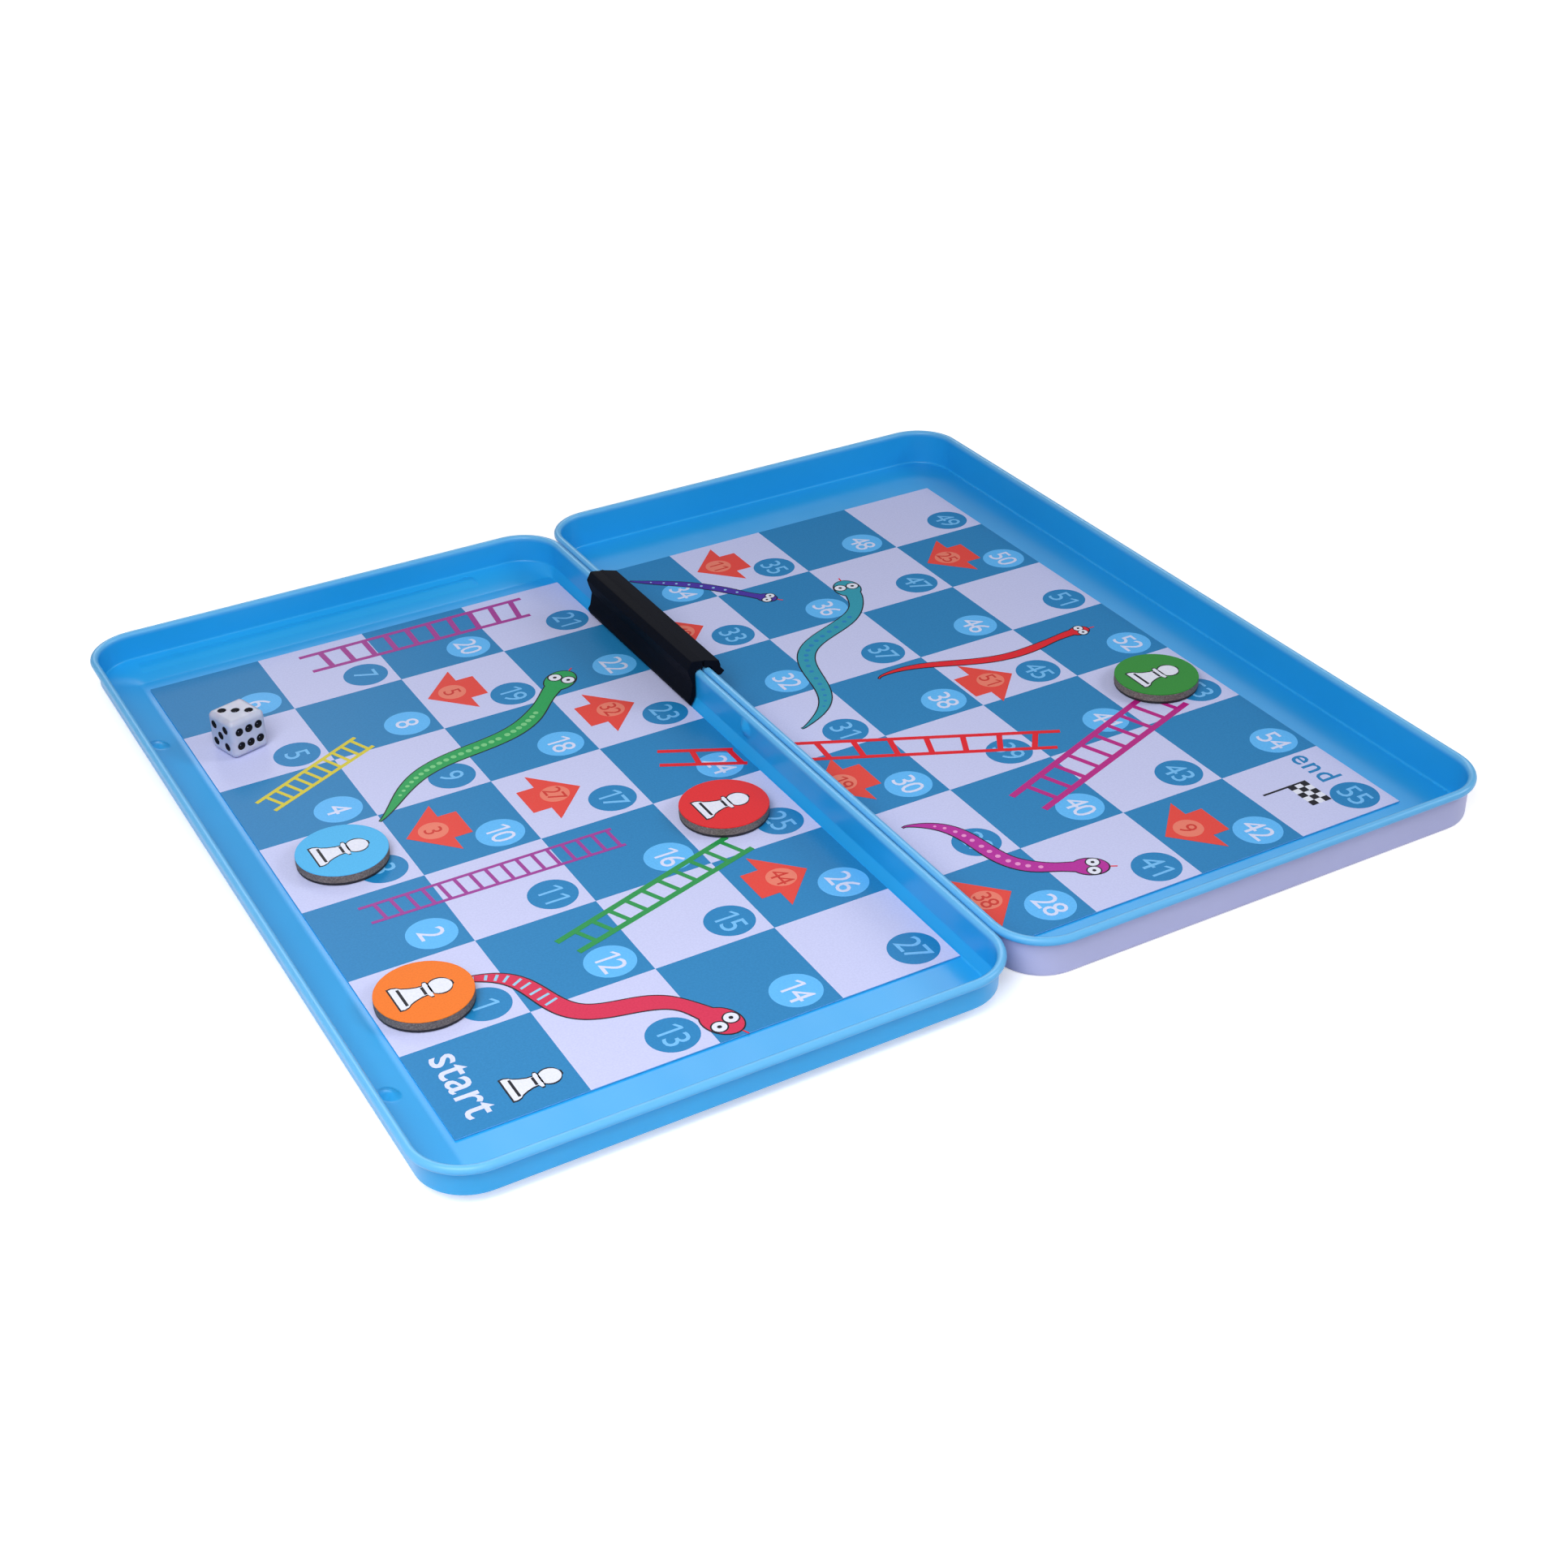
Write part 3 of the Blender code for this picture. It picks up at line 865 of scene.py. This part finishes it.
# %% [markdown]
# ### Snakes
#
# The snakes here are plain ones made for this set: a body that swings from side to side
# like a sine wave, with dots or stripes, an oval head, a thin tongue, two round eyes and a
# dark outline. A hand-drawn curve would do as well, but with a formula each snake needs
# only its two ends, its swings and a width.

# %% Snakes
outline_mm = 0.24
tongue_mm = 0.26
stripe_mm = 0.48
snake_points = 110


def snake(board, ink, trim, head, tail, swings, swing, phase, width, dots=0, bands=0):
    """A body from tail to head. Its line is straight plus swing * sin(2 pi (swings s +
    phase)) sideways, fading at both ends. Its half width grows within the first third
    from the tail, stays even, and thins by a quarter at the neck."""
    s = np.linspace(0, 1, snake_points)
    start = on_board(board, *tail)
    end = on_board(board, *head)
    line = start + s[:, None] * (end - start)
    way = (end - start) / np.linalg.norm(end - start)
    aside = np.array((-way[1], way[0]))
    wave = swing * np.sin(2 * math.pi * (swings * s + phase)) * np.sin(math.pi * s) ** 0.5
    path = line + wave[:, None] * aside
    thinned = 0.25 * np.exp(-((s - 0.88) / 0.09) ** 2)
    half = width * (np.tanh(4 * s) - thinned) + 0.05
    band(board, "black", 3, path, half + outline_mm)
    band(board, ink, 4, path, half)
    last = path[-1] - path[-6]
    turn = math.atan2(last[1], last[0])
    ahead = last / np.linalg.norm(last)
    left = np.array((-ahead[1], ahead[0]))
    middle = path[-1] + ahead * width * 0.8
    long = width * 2.1
    broad = width * 1.6
    mark(board, "black", 3.4, ellipse(middle, long + outline_mm, broad + outline_mm, turn))
    mark(board, ink, 4.4, ellipse(middle, long, broad, turn))
    tongue = middle + ahead * np.linspace(long - 0.1, long + 1.4, 6)[:, None]
    band(board, "scarlet", 3, tongue, tongue_mm / 2)
    eye_mm = 0.65 + 0.45 * width
    for sign in (-1, 1):
        eye = middle + ahead * width * 0.35 + sign * left * (0.3 + width * 0.62)
        for kind, layer, radius in (("black", 5, 1.0), ("white", 5.4, 0.82), ("black", 6, 0.26)):
            mark(board, kind, layer, ellipse(eye, radius * eye_mm, radius * eye_mm, count=24))
    for at in np.linspace(0.16, 0.8, dots) if dots else ():
        i = int(at * (snake_points - 1))
        mark(board, trim, 5, ellipse(path[i], half[i] * 0.32, half[i] * 0.32, count=14))
    for at in np.linspace(0.06, 0.42, bands) if bands else ():
        i = int(at * (snake_points - 1))
        across = (path[i + 1] - path[i]) / np.linalg.norm(path[i + 1] - path[i])
        square = np.array((-across[1], across[0]))
        stripe = path[i] + square * np.linspace(-0.7, 0.7, 5)[:, None] * half[i]
        band(board, trim, 5, stripe, stripe_mm / 2)


snake("left", "leaf_body", "lime", (3.16, 5.20), (0.98, 3.90), 1.0, -3.6, 0.50, 1.75, dots=24)
snake("left", "crimson", "powder", (2.10, 0.27), (0.62, 1.66), 1.44, -3.0, 0.50, 1.75, bands=10)
snake("right", "scarlet", "brick", (3.47, 3.67), (1.47, 3.86), 0.75, 3.0, 0.27, 0.95, dots=10)
snake("right", "teal", "deep", (2.12, 5.44), (0.45, 3.47), 1.25, 4.0, 0.60, 1.6, dots=18)
snake("right", "violet", "powder", (1.36, 5.76), (0.42, 6.72), 0.5, 1.5, 0.0, 0.95, dots=8)
snake("right", "orchid", "pink", (1.27, 0.54), (0.36, 1.72), 0.80, 3.6, 0.16, 1.45, dots=12)
print("snakes laid")

# %% [markdown]
# ### Start and end
#
# The first square says start and the last one says end. Beside the words stands a plain
# board-game pawn at the start, and a chequered flag at the end.

# %% Pawn and flag
line_mm = 0.44
pawn_outline_mm = 0.28
pole_mm = 9.2


def pawn_outline(size, grow=0.0):
    """Half widths of a pawn up its height: a foot, a body that narrows, a collar and a
    round head, each a simple curve. grow widens it all for the outline behind."""
    h = np.array([0, 0.06, 0.14, 0.2, 0.3, 0.42, 0.52, 0.55, 0.6, 0.63])
    w = np.array([0.3, 0.31, 0.28, 0.22, 0.17, 0.13, 0.12, 0.2, 0.2, 0.13])
    t = np.linspace(-1.15, 1.5, 14)
    head_h = 0.78 + 0.2 * np.sin(t)
    head_w = 0.2 * np.cos(t)
    height = np.concatenate([h, head_h]) * size
    width = np.concatenate([w, head_w]) * size
    height[0] -= grow
    height[-1] += grow
    return height, width + grow


def pawn(foot, size):
    """White pawn over a slightly larger black one, standing on foot and pointing +X."""
    shapes = []
    for grow in (pawn_outline_mm, 0.0):
        height, width = pawn_outline(size, grow)
        path = np.stack([foot[0] + height, np.full(len(height), foot[1])], 1)
        shapes.append((path, width))
    return shapes


def pawn_bands(foot, size):
    """Two dark bands across the pawn's body."""
    bands = []
    for share, half in ((0.13, 0.24), (0.5, 0.11)):
        y = np.linspace(-half, half, 5) * size + foot[1]
        bands.append(np.stack([np.full(5, foot[0] + share * size), y], 1))
    return bands


def board_pawn(board, foot, size):
    """A pawn printed on a sheet."""
    (back, back_width), (front, front_width) = pawn(foot, size)
    band(board, "black", 3, back, back_width)
    band(board, "white", 4, front, front_width)
    for line in pawn_bands(foot, size):
        band(board, "black", 5, line, line_mm / 2)


def flag(board, foot, cell=1.35):
    """A chequered flag on a pole: three by five cells, every other one dark."""
    pole = foot + np.linspace(0, pole_mm, 4)[:, None] * np.array((1, 0))
    band(board, "black", 3, pole, line_mm / 2)
    corner = foot + (pole_mm - 3 * cell, -5 * cell)
    square = np.array([(0, 0), (1, 0), (1, 1), (0, 1)]) * cell
    mark(board, "white", 3, corner + square * (3, 5))
    for i in range(3):
        for j in range(5):
            if (i + j) % 2 == 0:
                mark(board, "black", 4, corner + (i * cell, j * cell) + square)


put_text("left", "pale", 2, "start", on_board("left", 0.26, 0.50), 4.6, 0.008)
board_pawn("left", on_board("left", 0.50, 0.28), 8.6)
put_text("right", "deep", 2, "end", on_board("right", 3.77, 0.745), 4.4, 0.008)
flag("right", on_board("right", 3.12, 0.62))
print("marks:", sum(len(shapes) for shapes in marks.values()))

# %% [markdown]
# ### Inks
#
# All the inks are flat spot colours under the same clear film as the squares, so they
# share one recipe: the colour with a fine mottle, and the film's subdued gloss.

# %% Inks
ink_colours = {
    "sky": ("#63bffc", "#5eb9f6"),
    "deep": ("#2387c2", "#2080bb"),
    "pale": ("#dfe4fb", "#d6dbf6"),
    "bright": ("#79c4f6", "#72bdf0"),
    "white": ("#eceef8", "#e3e6f4"),
    "black": ("#1c1b26", "#15141e"),
    "orange_red": ("#ea4339", "#e84b41"),
    "peach": ("#ee7d68", "#ef826c"),
    "brick": ("#d83a30", "#cf342b"),
    "purple": ("#ad3d98", "#a63891"),
    "plum": ("#a53f9c", "#9e3a95"),
    "yellow": ("#dfd03a", "#d8c934"),
    "leaf": ("#2b9a50", "#27934a"),
    "leaf_body": ("#27a65a", "#239f54"),
    "lime": ("#7fd08a", "#78c983"),
    "scarlet": ("#ea1c2c", "#e31828"),
    "crimson": ("#dc2f56", "#d52a50"),
    "powder": ("#9ad3ee", "#92cbe8"),
    "magenta": ("#c0248a", "#b92083"),
    "orchid": ("#bd2ca0", "#b62699"),
    "pink": ("#ee9ad2", "#e893cb"),
    "teal": ("#2f9fb4", "#2b98ad"),
    "violet": ("#4a2fa6", "#44299f"),
}
ink_finish = {
    ink: plain("laminated_ink_" + ink, print_mottle, colours, film_relief, film_depth_mm, *film_look)
    for ink, colours in ink_colours.items()
}
for (board, ink, layer), shapes in sorted(marks.items()):
    make_piece(
        "print_%s_%s_%d" % (board, ink, round(10 * layer)),
        merged(shapes),
        ink_finish[ink],
        bodies[board],
        sharp_degrees=20,
    )

# %% [markdown]
# ## The clip
#
# One strip of black plastic grips both rims and is taken to be the hinge. It is moulded
# with one cross-section all along: a flat top, a ridge, a deep waist and a foot that flares
# out. The halves ride on their own trays. A thin web between them is where the real clip
# bends; here it rides on neither. The plastic is near black and matt from a spark-eroded
# mould, with a fine pebble. Its reflections are held below a real plastic's, as on the print.

# %% Clip profile
half_gap_mm = 0.15
free_gap_mm = 0.3
clip_middle_mm = 37.3
clip_half_mm = 21.5
rim_x_mm = half_gap_mm + rim_radius_mm
hollow_mm = rim_radius_mm + free_gap_mm
roof_low_mm = rim_middle_mm + hollow_mm
clip_top_mm = roof_low_mm + 1.55
clip_near_mm = clip_middle_mm - clip_half_mm
clip_far_mm = clip_middle_mm + clip_half_mm
foot_low_mm = board_top_mm + free_gap_mm
leg_x_mm = -rim_x_mm - hollow_mm
hook_x_mm = rim_x_mm + hollow_mm


def round_rim(middle_x, first, last, count=12):
    """Points of the hollow that follows the rolled rim: an arc about the rim's middle."""
    angle = np.radians(np.linspace(first, last, count))
    x = middle_x + hollow_mm * np.cos(angle)
    return np.stack([x, rim_middle_mm + hollow_mm * np.sin(angle)], 1)


def softened(corners, cut=0.14):
    """A closed outline with its corners eased by a short cut."""
    corners = np.asarray(corners, float)
    before = np.roll(corners, 1, 0) - corners
    after = np.roll(corners, -1, 0) - corners
    short = np.minimum(np.linalg.norm(before, axis=1), np.linalg.norm(after, axis=1))[:, None]
    trim = np.minimum(cut, short * 0.4)
    start = corners + before / np.linalg.norm(before, axis=1, keepdims=True) * trim
    end = corners + after / np.linalg.norm(after, axis=1, keepdims=True) * trim
    q = np.linspace(0, 1, 4)[None, :, None]
    curve = (1 - q) ** 2 * start[:, None] + 2 * q * (1 - q) * corners[:, None]
    return (curve + q ** 2 * end[:, None]).reshape(-1, 2)


left_outline = np.concatenate([
    [(-half_gap_mm, roof_low_mm)],
    round_rim(-rim_x_mm, 90, 180),
    [
        (leg_x_mm, crease_mm + 0.3),
        (-2.79, foot_low_mm),
        (-3.09, foot_low_mm),
        (leg_x_mm - 1.6, foot_low_mm + 1.0),
        (leg_x_mm - 1.05, foot_low_mm + 1.75),
        (leg_x_mm - 0.5, foot_low_mm + 4.3),
        (leg_x_mm - 1.1, foot_low_mm + 6.18),
        (leg_x_mm - 1.4, roof_low_mm + 0.3),
        (leg_x_mm - 0.5, clip_top_mm + 0.3),
        (leg_x_mm, clip_top_mm + 0.3),
        (-half_gap_mm, clip_top_mm - 0.02),
    ],
])
right_outline = np.concatenate([
    [
        (half_gap_mm, clip_top_mm - 0.02),
        (hook_x_mm + 0.3, roof_low_mm + 0.93),
        (hook_x_mm + 1.3, roof_low_mm + 0.63),
        (hook_x_mm + 1.6, rim_middle_mm + rim_radius_mm),
        (hook_x_mm + 1.6, rim_middle_mm),
        (hook_x_mm + 2.4, rim_middle_mm - 0.78),
        (hook_x_mm + 1.6, rim_middle_mm - 1.5),
        (hook_x_mm + 0.3, rim_middle_mm - 1.2),
    ],
    round_rim(rim_x_mm, 0, 90),
    [(half_gap_mm, roof_low_mm)],
])
print("clip from y =", clip_near_mm, "to", clip_far_mm, "mm")

# %% Clip pieces
black_plastic = plain("black_moulded_polypropylene", (6, 4.0, (1, 5, 1)), ("#0a0e19", "#070a13"),
                      (0.45, 2.0), 0.02, 0.7, 1.49, 0.08)


def extruded(outline):
    """The outline carried along Y, with its ends drawn in a little to round them."""
    middle = outline.mean(0)
    rows = []
    for y, pull in (
        (clip_near_mm, 0.03), (clip_near_mm + 0.08, 0.008), (clip_near_mm + 0.2, 0),
        (clip_far_mm - 0.2, 0), (clip_far_mm - 0.08, 0.008), (clip_far_mm, 0.03),
    ):
        ring = outline + (middle - outline) * pull
        rows.append(np.stack([ring[:, 0], np.full(len(ring), y), ring[:, 1]], 1))
    return capped(np.stack(rows))


for side, outline in (("left", left_outline), ("right", right_outline)):
    make_piece("clip_%s_grip" % side, extruded(softened(outline)), black_plastic,
               side + "_half", ["hinge_clip_" + side])

# %% Clip web
web_columns = np.linspace(-0.35, 0.35, 15)
web_low = np.stack([web_columns, np.full(15, clip_top_mm - 0.3)], 1)
web_high = np.stack([web_columns[::-1], np.full(15, clip_top_mm - 0.012)], 1)
web = make_piece("clip_web", extruded(np.concatenate([web_low, web_high])), black_plastic,
                 None)
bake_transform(web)

# %% [markdown]
# ## The tokens
#
# A token is a round punched from grey board, with a printed paper label on top and a thin
# rubbery magnet under it. Punching rounds the label's edge over a little and leaves a
# rough grey side with fibres. Each layer is its own turned shape, so the side shows all
# three. They all but touch here, where the solids keep a small clearance. The label is
# varnished paper, satin with a faint tooth. The magnet is ferrite powder in rubber, almost
# black and dull.

# %% Token finishes
def grey_board(name):
    """Pressed waste-paper board, cut by a punch: warm grey, matt, with flat layers of
    fibre about 0.15 mm thick that run round the edge."""
    parts = blank(name)
    tree = parts[1]
    layers = grain(tree, 0.6, 4.0, (1, 1, 0.25))
    warm = between(tree, layers, "#958b84", "#776c66")
    colour = between(tree, grain(tree, 0.25, 3.0), warm, "#665c57")
    return finished(parts, colour, bump(tree, layers, 0.08), 0.9, 1.45)


label_colours = {
    "blue": ("#52bdf4", "#4cb7ee"),
    "red": ("#e6141f", "#de111b"),
    "orange": ("#f87d1c", "#f17617"),
    "green": ("#23902a", "#1f8926"),
}
board_finish = grey_board("punched_grey_board")
magnet_finish = plain("ferrite_rubber_magnet", (0.4, 3.0), ("#26242a", "#1b1a1f"),
                      (0.2, 2.0), 0.02, 0.7, 1.5)

# %% Token shapes
token_radius_mm = 7.75
label_top_mm = 2.035
token_columns = 96


def turned(centre, profile):
    """A profile of radius and height turned round an upright axis."""
    angle = np.linspace(0, 2 * math.pi, token_columns, endpoint=False)
    radius = profile[:, :1]
    x = centre[0] + radius * np.cos(angle)
    y = centre[1] + radius * np.sin(angle)
    z = np.broadcast_to(profile[:, 1:], x.shape)
    return capped(np.stack([x, y, z], -1))


def layer_profile(low, high, round_low, round_high, inset=0.0):
    """Radius and height up one layer's side above the board, with eased edges."""
    radius = token_radius_mm - inset
    low += board_top_mm
    high += board_top_mm
    corners = [(radius - 1.5, low), (radius, low), (radius, high), (radius - 1.5, high)]
    return eased(corners, (0, round_low, round_high, 0), (1, 3, 1), hold=0.02)


layers = {
    "magnet": layer_profile(0.1, 0.56, 0.08, 0.02, 0.06),
    "disc": layer_profile(0.565, 1.895, 0.05, 0.05),
    "label": layer_profile(1.9, label_top_mm, 0.02, 0.09, 0.01),
}
token_pawn_mm = 9.4


def token(colour, board, a, b, body):
    """Magnet, board and label, then the pawn printed on the label."""
    centre = on_board(board, a, b)
    label = plain(colour + "_varnished_label_paper", (0.3, 3.0), label_colours[colour],
                  (0.5, 3.0), 0.008, 0.5, 1.5, 0.2)
    slot = colour + "_label"
    finishes = {"magnet": (magnet_finish, "magnet"), "disc": (board_finish, "grey_board"),
                "label": (label, slot)}
    for part, (finish, part_slot) in finishes.items():
        node = "token_%s_%s" % (colour, part)
        make_piece(node + "_round", turned(centre, layers[part]), finish, body,
                   [node])
    top = board_top_mm + label_top_mm
    foot = centre + (-token_pawn_mm / 2, 0)
    back, front = pawn(foot, token_pawn_mm)
    lines = [(line, np.full(5, 0.24)) for line in pawn_bands(foot, token_pawn_mm)]
    for part, ink, paths, step in (
        ("outline", "black", [back], 0.006), ("pawn", "white", [front], 0.010),
        ("bands", "black", lines, 0.014),
    ):
        shapes = [ribbon(path, width, top - 0.01, top + step) for path, width in paths]
        make_piece("token_%s_%s" % (colour, part), merged(shapes), ink_finish[ink], body)


token("blue", "left", 0.53, 3.53, "blue_token")
token("red", "left", 3.43, 2.575, "red_token")
token("orange", "left", 0.395, 1.495, "orange_token")
token("green", "right", 3.505, 2.53, "green_token")

# %% [markdown]
# ## The die
#
# The die is a moulded white cube with well rounded edges, tumbled smooth, and pips that
# are shallow bowls filled with black paint, a little glossy. A bevelled cube with dark dots
# would look printed. Here the cube is a grid wrapped round a smaller cube at a constant
# distance, and the pips press into it as bowls. The plastic is slightly milky, and a
# greyish lilac here, which is how it reads in the photograph's light.

# %% Die shape
die_half_mm = 3.7
die_round_mm = 1.05
die_turn = math.radians(16.4)
pip_radius_mm = 0.76
pip_depth_mm = 0.33
bowl_wider = 1.04
bowl_deeper_mm = 0.05
bowl_columns = 28
pip_step_mm = 1.7
six_row_step_mm = 2.0
six_row_offset_mm = 1.4
die_cells = 64
die_middle = np.array((*on_board("left", 0.39, 5.63), board_top_mm + 0.1 + die_half_mm))
face_turns = {
    3: np.eye(3),
    4: np.diag((1, -1, -1)),
    6: np.array(((1, 0, 0), (0, 0, -1), (0, 1, 0))),
    1: np.array(((1, 0, 0), (0, 0, 1), (0, -1, 0))),
    5: np.array(((0, 0, -1), (0, 1, 0), (1, 0, 0))),
    2: np.array(((0, 0, 1), (0, 1, 0), (-1, 0, 0))),
}


def pip_spots(count):
    """Places of a face's pips from its middle. The six has two rows of three."""
    corners = [(-1, 1), (1, -1), (-1, -1), (1, 1)]
    middle = [(0, 0)] if count % 2 else []
    sides = [(0, -1), (0, 1)] if count == 6 else []
    step = (six_row_step_mm, six_row_offset_mm) if count == 6 else (pip_step_mm, pip_step_mm)
    return np.array(middle + corners[:count - count % 2] + sides, float) * step


def die_face(count):
    """One face as a grid: points of the outer cube pulled to the nearest point of a
    smaller cube, then pushed out by the edge radius. Bowls sink by depth * (1 - r^2)."""
    t = np.linspace(-1, 1, die_cells + 1)
    u = np.sign(t) * np.abs(t) ** 0.9 * die_half_mm
    x, y = np.meshgrid(u, u, indexing="ij")
    flat = np.stack([x, y, np.full_like(x, die_half_mm)], -1)
    core = np.clip(flat, die_round_mm - die_half_mm, die_half_mm - die_round_mm)
    away = flat - core
    away /= np.linalg.norm(away, axis=-1, keepdims=True)
    skin = core + away * die_round_mm
    for spot in pip_spots(count):
        r = np.linalg.norm(skin[..., :2] - spot, axis=-1) / (pip_radius_mm * bowl_wider)
        sink = np.clip(1 - r ** 2, 0, None) ** 0.8 * (pip_depth_mm + bowl_deeper_mm)
        skin[..., 2] -= sink
    return skin.reshape(-1, 3) @ face_turns[count].T


def placed(points):
    """Turn the die about its upright axis and stand it on the board."""
    turn = np.array((
        (math.cos(die_turn), -math.sin(die_turn), 0),
        (math.sin(die_turn), math.cos(die_turn), 0),
        (0, 0, 1),
    ))
    return points @ turn.T + die_middle


sides = []
for count in face_turns:
    quads = grid_faces(die_cells + 1, die_cells + 1, closed=False)
    sides.append((placed(die_face(count)), quads.tolist()))
die_points, die_faces = merged(sides)

# %% Die finish and pips
def bowl(count):
    """Paint in one face's bowls: rings from the rim down to the middle and back under."""
    r = np.array([1.0, 0.85, 0.65, 0.4, 0.12, 0.12, 0.6, 0.97])[:, None]
    shapes = []
    angle = np.linspace(0, 2 * math.pi, bowl_columns, endpoint=False)[None]
    sunk = -pip_depth_mm * (1 - r ** 2)
    sunk[5:] -= 0.12
    for spot in pip_spots(count):
        x = spot[0] + pip_radius_mm * r * np.cos(angle)
        y = spot[1] + pip_radius_mm * r * np.sin(angle)
        z = np.broadcast_to(die_half_mm - 0.01 + sunk, x.shape)
        rings = np.stack([x, y, z], -1)
        points = placed(rings.reshape(-1, 3) @ face_turns[count].T)
        rows = grid_faces(len(r), bowl_columns).tolist()
        last = (len(r) - 1) * bowl_columns
        for i in range(bowl_columns):
            after = (i + 1) % bowl_columns
            rows.append([last + i, last + after, after, i])
        shapes.append((points, rows))
    return shapes


milk_white = plain(
    "white_tumbled_urea_plastic", (2.5, 4.0), ("#c5c8da", "#babed2"), (0.9, 2.0), 0.01,
    0.34, 1.55, 0.35, more={"Subsurface Weight": 0.15, "Subsurface Scale": 0.001},
)
pip_paint = plain("black_pip_paint", (0.5, 2.0), ("#14141a", "#0e0e13"), (0.3, 2.0), 0.01,
                  0.6, 1.5, 0.15)
die_piece = make_piece(
    "die_body_round", (die_points, die_faces), milk_white, "die_body", ["die"],
    sharp_degrees=60,
)
seam = bmesh.new()
seam.from_mesh(die_piece.data)
bmesh.ops.remove_doubles(seam, verts=seam.verts[:], dist=1e-6)
bmesh.ops.recalc_face_normals(seam, faces=seam.faces[:])
seam.to_mesh(die_piece.data)
seam.free()
pips = [shape for count in face_turns for shape in bowl(count)]
make_piece("die_pips", merged(pips), pip_paint, "die_body")

# %% [markdown]
# ## Floor, light and background
#
# The set lies on a plain white table in soft studio light from four lamps. A key lamp hangs
# over the outer near corner and a fill stands off to the right. Two more stand behind, and
# only reflections see them: they put the sheen on the floors of the trays. The pale room
# adds a little. The floor is white paper: what the camera sees of it gets a glow of its
# own, so it reaches white without more light on the set, and the shadow stays.

# %% Floor
glow_by_distance = {"From Min": 0.1, "From Max": 0.24, "To Min": 0.45, "To Max": 1.0}


def white_table(name):
    """Matt white paper. Camera, glossy and transmission rays also see a glow, faint near
    the set, where the shadow lies, and white further away."""
    made, tree, out = blank(name)
    colour = between(tree, grain(tree, 30, 2.0), "#f4f4f5", "#f2f2f4")
    paper = add(tree, "BsdfDiffuse", links={"Color": colour})
    rays = add(tree, "LightPath")
    seen = calculated(tree, "MAXIMUM", rays.outputs["Is Camera Ray"], rays.outputs["Is Glossy Ray"])
    either = calculated(tree, "MAXIMUM", seen, rays.outputs["Is Transmission Ray"])
    where = add(tree, "TexCoord").outputs["Object"]
    away = add(tree, "VectorMath", links={0: where}, operation="LENGTH")
    level = add(tree, "MapRange", glow_by_distance, {"Value": away.outputs["Value"]})
    glow_level = calculated(tree, "MULTIPLY", either, level.outputs[0])
    glow = add(tree, "Emission", links={"Strength": glow_level})
    both = add(tree, "AddShader", links={0: paper.outputs[0], 1: glow.outputs[0]})
    tree.links.new(both.outputs[0], out.inputs[0])
    return made


floor_half = 3.0
floor_mesh = bpy.data.meshes.new("table")
corners = np.array([(-1, -1, 0), (1, -1, 0), (1, 1, 0), (-1, 1, 0)]) * floor_half
floor_mesh.from_pydata(corners.tolist(), [], [(0, 1, 2, 3)])
floor_mesh.materials.append(white_table("white_paper_table"))
floor = bpy.data.objects.new("table", floor_mesh)
bpy.context.scene.collection.objects.link(floor)

# %% Lamps and room
def soft_lamp(name, place_mm, target_mm, size_mm, watts):
    """A rectangular lamp that faces its target."""
    data = bpy.data.lights.new(name, "AREA")
    data.shape = "RECTANGLE"
    data.size = size_mm[0] / 1000
    data.size_y = size_mm[1] / 1000
    data.energy = watts
    made = bpy.data.objects.new(name, data)
    bpy.context.scene.collection.objects.link(made)
    here = np.array(place_mm, float) / 1000
    back = here - np.array(target_mm, float) / 1000
    back /= np.linalg.norm(back)
    right = np.cross((0, 0, 1), back)
    right /= np.linalg.norm(right)
    turn = Matrix(np.stack([right, np.cross(back, right), back], 1).tolist()).to_4x4()
    turn.translation = here.tolist()
    made.matrix_world = turn
    return made


soft_lamp("key_near_end", (-175, -160, 262), (-20, -30, 0), (240, 200), 0.86)
soft_lamp("fill_right", (700, -340, 500), (-40, -40, 0), (300, 300), 2.05)
for name, place, size, watts in (
    ("sheen_near", (548, 1038, 1030), (1100, 280), 5.4),
    ("sheen_far", (218, 1323, 816), (300, 400), 1.3),
):
    soft_lamp(name, place, (-60, -60, 0), size, watts).visible_diffuse = False
world = bpy.data.worlds.new("pale_room")
world.use_nodes = True
bpy.context.scene.world = world
room = world.node_tree
room.nodes.clear()
rays = add(room, "LightPath")
room_light = 0.3
room_shine_share = 0.08
light = add(room, "Background", {"Color": linear("#f3f4ff"), "Strength": room_light})
white = add(room, "Background", {"Color": (1, 1, 1, 1), "Strength": 1.0})
seen = calculated(room, "MAXIMUM", rays.outputs["Is Camera Ray"],
                  rays.outputs["Is Transmission Ray"])
shine = add(room, "Math", {1: room_shine_share}, {0: rays.outputs["Is Glossy Ray"], 2: seen},
            operation="MULTIPLY_ADD")
mix = add(room, "MixShader", links={0: shine.outputs[0], 1: light.outputs[0],
                                    2: white.outputs[0]})
add(room, "OutputWorld", links={"Surface": mix.outputs[0]})
bpy.context.scene.view_settings.view_transform = "Standard"
